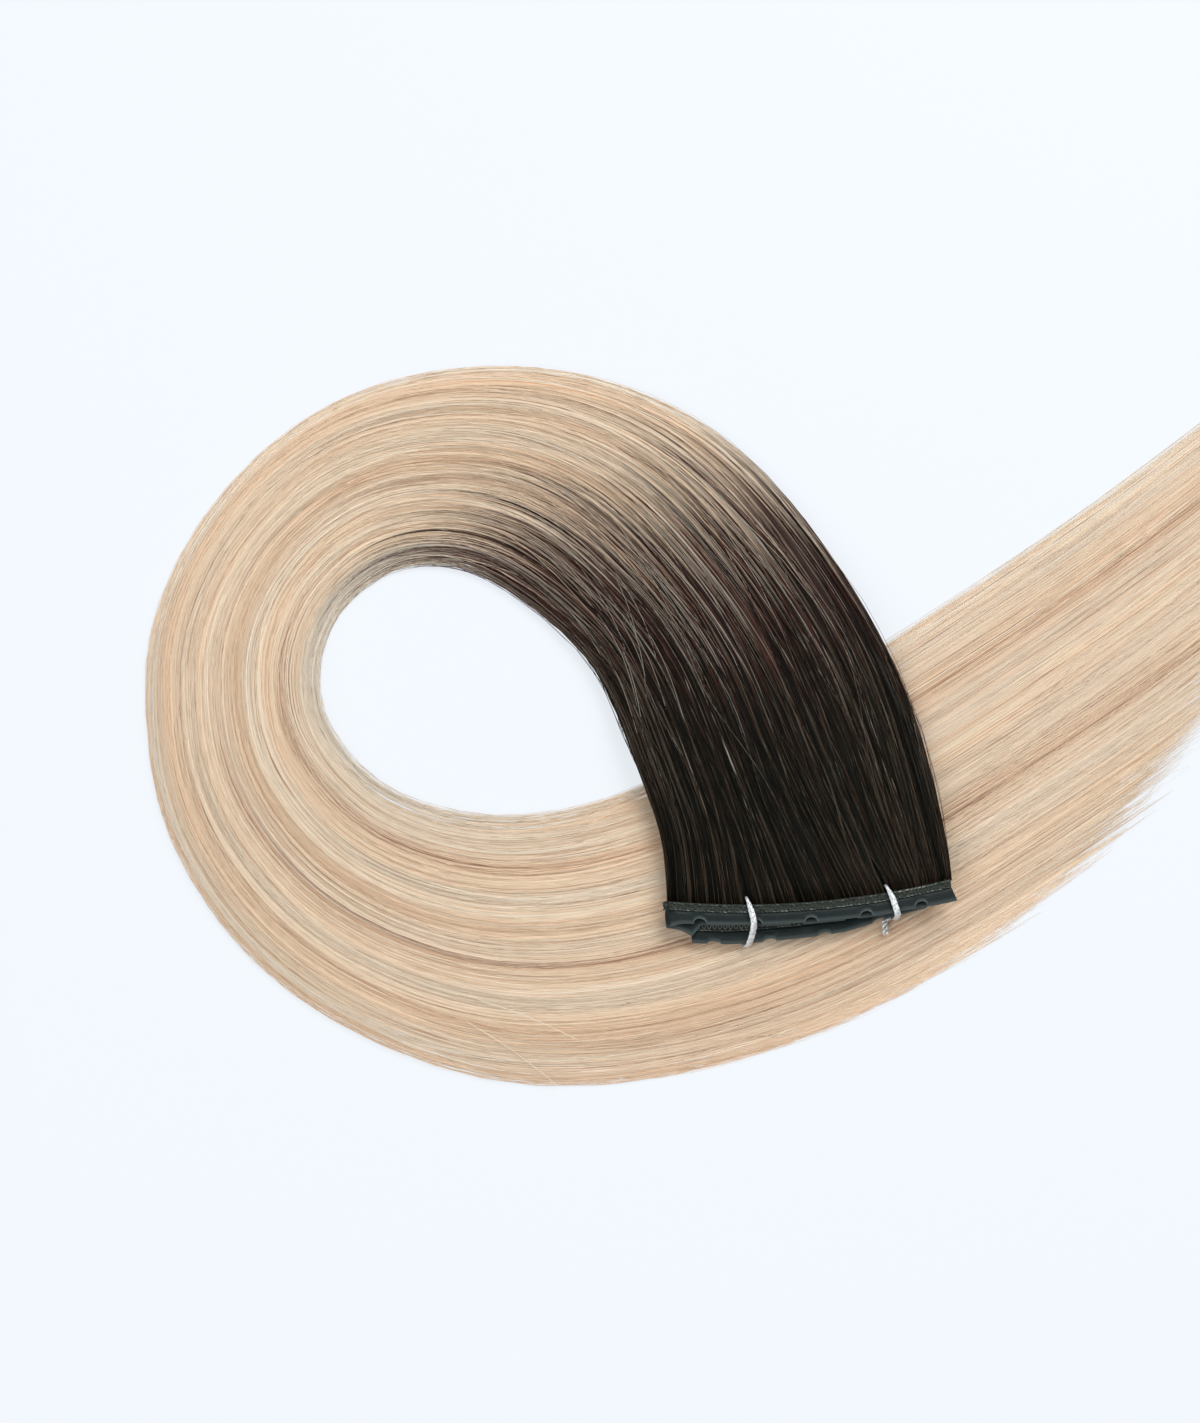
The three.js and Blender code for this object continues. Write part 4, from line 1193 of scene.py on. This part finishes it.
# %% Film of the tape
TAPE_THICK, RIM_SOFTNESS, CUT_LEAN = 1.0, 0.4, 1.0
half = TAPE_THICK / 2
flat, bend = np.array([0, 0.15, 0.3, 0.45, 0.6, 0.75, 0.88]), np.radians([70, 35, 0, -35, -70])
inner, slit = np.array([0.0, 0.5, 0.9]), np.array([0.2, 0.15, 0.06])

near_hole = np.exp(-np.min(np.abs(runs - holes[None, :]), axis=1, keepdims=True) / 1.6)
puff = 1 + 0.10 * np.sin(runs * 0.9 + 2) * np.sin(runs * 0.23) - 0.1 * near_hole
crease = 0.16 * np.exp(-((runs - LOW_STARTS - 40) / 11) ** 2) * np.exp(-((flat - 0.45) / 0.14) ** 2)
flat_over = half * puff * np.interp(flat, [0, 0.12, 0.3], [0.5, 0.86, 1])
bend_from = rim + RIM_SOFTNESS
flat_across, inner_across = SEAM + flat * (bend_from - SEAM), SEAM + inner * (bend_from - SEAM)
slit_over = slit * np.ones_like(runs)
tape_across = np.concatenate([flat_across, bend_from - RIM_SOFTNESS * np.cos(bend), flat_across[:, ::-1],
                              inner_across, inner_across[:, ::-1]], axis=1)
tape_over = np.concatenate([flat_over - crease, half * puff * np.sin(bend), -flat_over[:, ::-1],
                            -slit_over, slit_over[:, ::-1]], axis=1)
# Painted highlight: the film is paler along its folded rim, where the fold catches the light.
rim_highlight = np.concatenate([np.zeros(6), [0.35, 0.9, 1, 1, 1, 0.9, 0.35], np.zeros(12)])
cut_lean = CUT_LEAN * (SEAM - tape_across) / (SEAM - RIM) * np.clip(1 - runs / 4, 0, 1)
film = tube_piece("tape_film", folded(runs - cut_lean, tape_across, tape_over)[None], {
    "along": np.broadcast_to(runs, tape_across.shape)[None],
    "across": tape_across[None],
    "lip_highlight": np.broadcast_to(rim_highlight * 0.6, tape_across.shape)[None],
})
film.data.set_sharp_from_angle(angle=math.radians(50))
print("film:", len(film.data.vertices), "points")

# %% Lips round the holes
LIP_RADIUS, LIP_ROUND = 0.09, HOLE_RADIUS + 0.05

lip_runs = holes[:, None] + LIP_ROUND * np.cos(arc)[None, :]
lip_across = LIP_ROUND * hole_tall[:, None] * np.sin(arc)[None, :] + RIM + HOLE_RAISED
# The lips carry the painted highlight in full.
lip_numbers = {"along": lip_runs, "across": lip_across, "lip_highlight": np.ones(lip_runs.shape)}
lip_rings = [rings_along(folded(lip_runs, lip_across, face * half), np.full(lip_runs.shape, LIP_RADIUS), 6)
             for face in (1, -1)]
tape = joined("tape_film", [film, *[tube_piece("lip_highlight", rings, lip_numbers) for rings in lip_rings]])
print("lips:", 2 * len(holes))

# %% Satin material of the tape
SATIN_COLOURS, LIP_HIGHLIGHT_COLOUR = [(0.0, (7, 17, 18)), (1.0, (19, 33, 33))], (88, 98, 97)

tape_material, tree, shader = new_material("tape film", {"Roughness": 0.42, "Specular IOR Level": 0.25})
fleck = flecked(tree, (1.1, 3.0, 1.0))
# The lips and the folded rim are mixed towards a pale colour as a painted highlight.
satin = mix_colour(tree, point_number(tree, "lip_highlight"), ramp(tree, fleck, SATIN_COLOURS), srgb(*LIP_HIGHLIGHT_COLOUR))
tree.links.new(satin, shader.inputs["Base Color"])
bump(tree, shader, fleck, 0.12, 0.2 * MM)
dress(tape, tape_material, "tape_film", "tape")

# %% [markdown]
# ## Ties
# Two flat wires wrapped in silver foil hold the folds together. Each comes up through the hair,
# crosses the edge, bends round the rims and goes back below. The ends of the right one are wound
# together in front of the edge. A bevelled curve would give an even wire, but a swept section can also
# be pinched and crinkled along the way.

# %% A curve through points
def through(points, count):
    """An even curve through points, of the kind that doesn't overshoot, open at both ends."""
    ends = np.concatenate([2 * points[:1] - points[1:2], points, 2 * points[-1:] - points[-2:-1]])
    gaps = np.linalg.norm(np.diff(ends, axis=0), axis=1) ** 0.5
    fine = []
    for i in range(1, len(ends) - 2):
        a, b, c, d = ends[i - 1:i + 3]
        before, here, after = gaps[i - 1:i + 2]
        leave = ((b - a) / before - (c - a) / (before + here) + (c - b) / here) * here
        arrive = ((c - b) / here - (d - b) / (here + after) + (d - c) / after) * here
        share = np.linspace(0, 1, 40, endpoint=False)[:, None]
        fine.append(b + leave * share + (3 * (c - b) - 2 * leave - arrive) * share ** 2
                    + (2 * (b - c) + leave + arrive) * share ** 3)
    fine = np.concatenate(fine + [ends[-2:-1]])
    length = np.concatenate([[0], np.cumsum(np.linalg.norm(np.diff(fine, axis=0), axis=1))])
    even = np.linspace(0, length[-1], count)
    return np.stack([np.interp(even, length, fine[:, k]) for k in range(3)], -1), even


corner, corner_run = through(np.array([(0.0, 0, 0), (1.0, 0, 0), (1.0, 1.0, 0)]), 9)
print("a curve round a corner of 1 by 1 mm is", corner_run[-1].round(2), "mm long")

# %% Way of a tie
OVER, UNDER, BEHIND, TOP_RIM, RIM_CLEARANCE = 11.15, 4.9, 4.4, -2.6, 0.65
TIES = {  # along the edge: over the track, at the top rim, in front of the low rim, below
    "tie_left": (-12.9, -13.0, -14.6, -15.6), "tie_right": (19.2, 19.6, 19.1, 18.6)}
TIE_STATIONS = 130


def low_rim(along):
    """Where a tie lies in front of the lowest panel's rim."""
    return RIM - slip(along) - RIM_CLEARANCE


def tie_path(part_at, over_at, rim_at, front_at, under_at):
    """A tie's middle line in the folded edge's own frame, from behind the track and back to it."""
    corners = np.array([
        (part_at, BEHIND, 8.2), (part_at, BEHIND - 0.3, OVER - 0.3),
        (part_at + 0.66 * (over_at - part_at), 1.4, OVER), (over_at, -0.75, OVER),
        (rim_at, TOP_RIM, OVER - 0.6),
        (front_at, low_rim(front_at), 6.65), (under_at, low_rim(front_at) + 1.5, UNDER + 0.1),
        ((under_at + part_at) / 2, 0, UNDER), (part_at, BEHIND - 0.3, UNDER + 0.3),
        (part_at, BEHIND, 7.9)])
    corners[:, 1] += bow(corners[:, 0])
    return through(corners, TIE_STATIONS)


for name, places in TIES.items():
    print(name, "is", tie_path(TIE_AT[name], *places)[1][-1].round(1), "mm long")

# %% Flat wire of a tie
TIE_WIDE, TIE_THICK, TIE_SIDES = 1.4, 0.62, 16


def tie_loop(name, path, run):
    """A flat wire along a path, pinched where it comes up, with a ridge and a crinkled rim."""
    tangent = np.gradient(path, axis=0)
    tangent /= np.linalg.norm(tangent, axis=1, keepdims=True)
    over = np.cross(tangent, [1.0, 0, 0])
    over /= np.linalg.norm(over, axis=1, keepdims=True)
    side = np.cross(over, tangent)
    angle = np.linspace(0, 2 * np.pi, TIE_SIDES, endpoint=False)
    pinch = 0.5 + 0.5 * smoothstep(2.5, 6.5, run)
    crinkle = 1 + 0.05 * np.sin(run * 4.7) + 0.04 * np.sin(run * 9.1 + 1)
    wide = (TIE_WIDE / 2 * pinch * crinkle)[:, None] * np.cos(angle)
    ridge = 0.55 + 0.45 * np.exp(-(np.cos(angle) / 0.4) ** 2)
    thick = TIE_THICK / 2 * np.sin(angle) * ridge * (1 + 0.08 * np.sin(run * 6.3)[:, None])
    ring = path[:, None] - wide[..., None] * side[:, None] + thick[..., None] * over[:, None]
    ring = to_world(ring[..., 0], ring[..., 1], ring[..., 2])
    numbers = {"along": np.broadcast_to(run[:, None], wide.shape)[None], "across": wide[None]}
    return tube_piece(name, ring[None], numbers)


print("a tie is", TIE_WIDE, "by", TIE_THICK, "mm in section")

# %% Wound ends of the right tie
TWIST_AT, TWIST_LEAD, TWIST_LENGTH, TWIST_TURNS = 17.0, 2.0, 3.1, 2.2


def tie_ends(front_at, under_at):
    """The two wire ends, wound round each other in front of the rim."""
    length = TWIST_LEAD + TWIST_LENGTH
    share = np.linspace(0, 1, 48)[None, :]
    wound = smoothstep(0.6, 1.2, share * length / TWIST_LEAD)
    angle = np.array([[0], [np.pi]]) + 2 * np.pi * TWIST_TURNS * share
    spread = 0.12 + 0.3 * wound
    along = under_at + (TWIST_AT - under_at) * wound + np.cos(angle) * spread
    starts_at = low_rim(front_at) + bow(under_at) + TWIST_LEAD
    across = np.broadcast_to(starts_at - length * share, along.shape)
    centres = to_world(along, across, UNDER + np.sin(angle) * spread + 0.35 * wound)
    radius = np.broadcast_to(0.34 + 0.02 * np.sin(share * 60), along.shape)
    numbers = {"along": np.broadcast_to(share * length, along.shape), "across": np.zeros_like(along)}
    return tube_piece("tie_ends", rings_along(centres, radius, 8), numbers)


print("the ends turn round each other", TWIST_TURNS, "times")

# %% Foil material and the two ties
FOIL_COLOURS = [(0.0, (168, 172, 174)), (0.5, (224, 226, 227)), (1.0, (252, 252, 252))]

tie_material, tree, shader = new_material("tie foil", {"Metallic": 0.55, "Roughness": 0.34})
fleck = flecked(tree, (2.6, 1.6, 1.0))
tree.links.new(ramp(tree, fleck, FOIL_COLOURS), shader.inputs["Base Color"])
bump(tree, shader, fleck, 0.4, 0.3 * MM)
for name, places in TIES.items():
    tie = tie_loop(f"{name}_foil", *tie_path(TIE_AT[name], *places))
    if name == "tie_right":
        tie = joined(tie.name, [tie, tie_ends(*places[-2:])])
    dress(tie, tie_material, "tie_foil", name)

# %% [markdown]
# ## Closing
# The box round the dressed weft is printed, in millimetres.

# %% Print the size and finish
low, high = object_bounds()
print("dressed size:", [round((top - bottom) / MM, 1) for bottom, top in zip(low, high)], "mm")
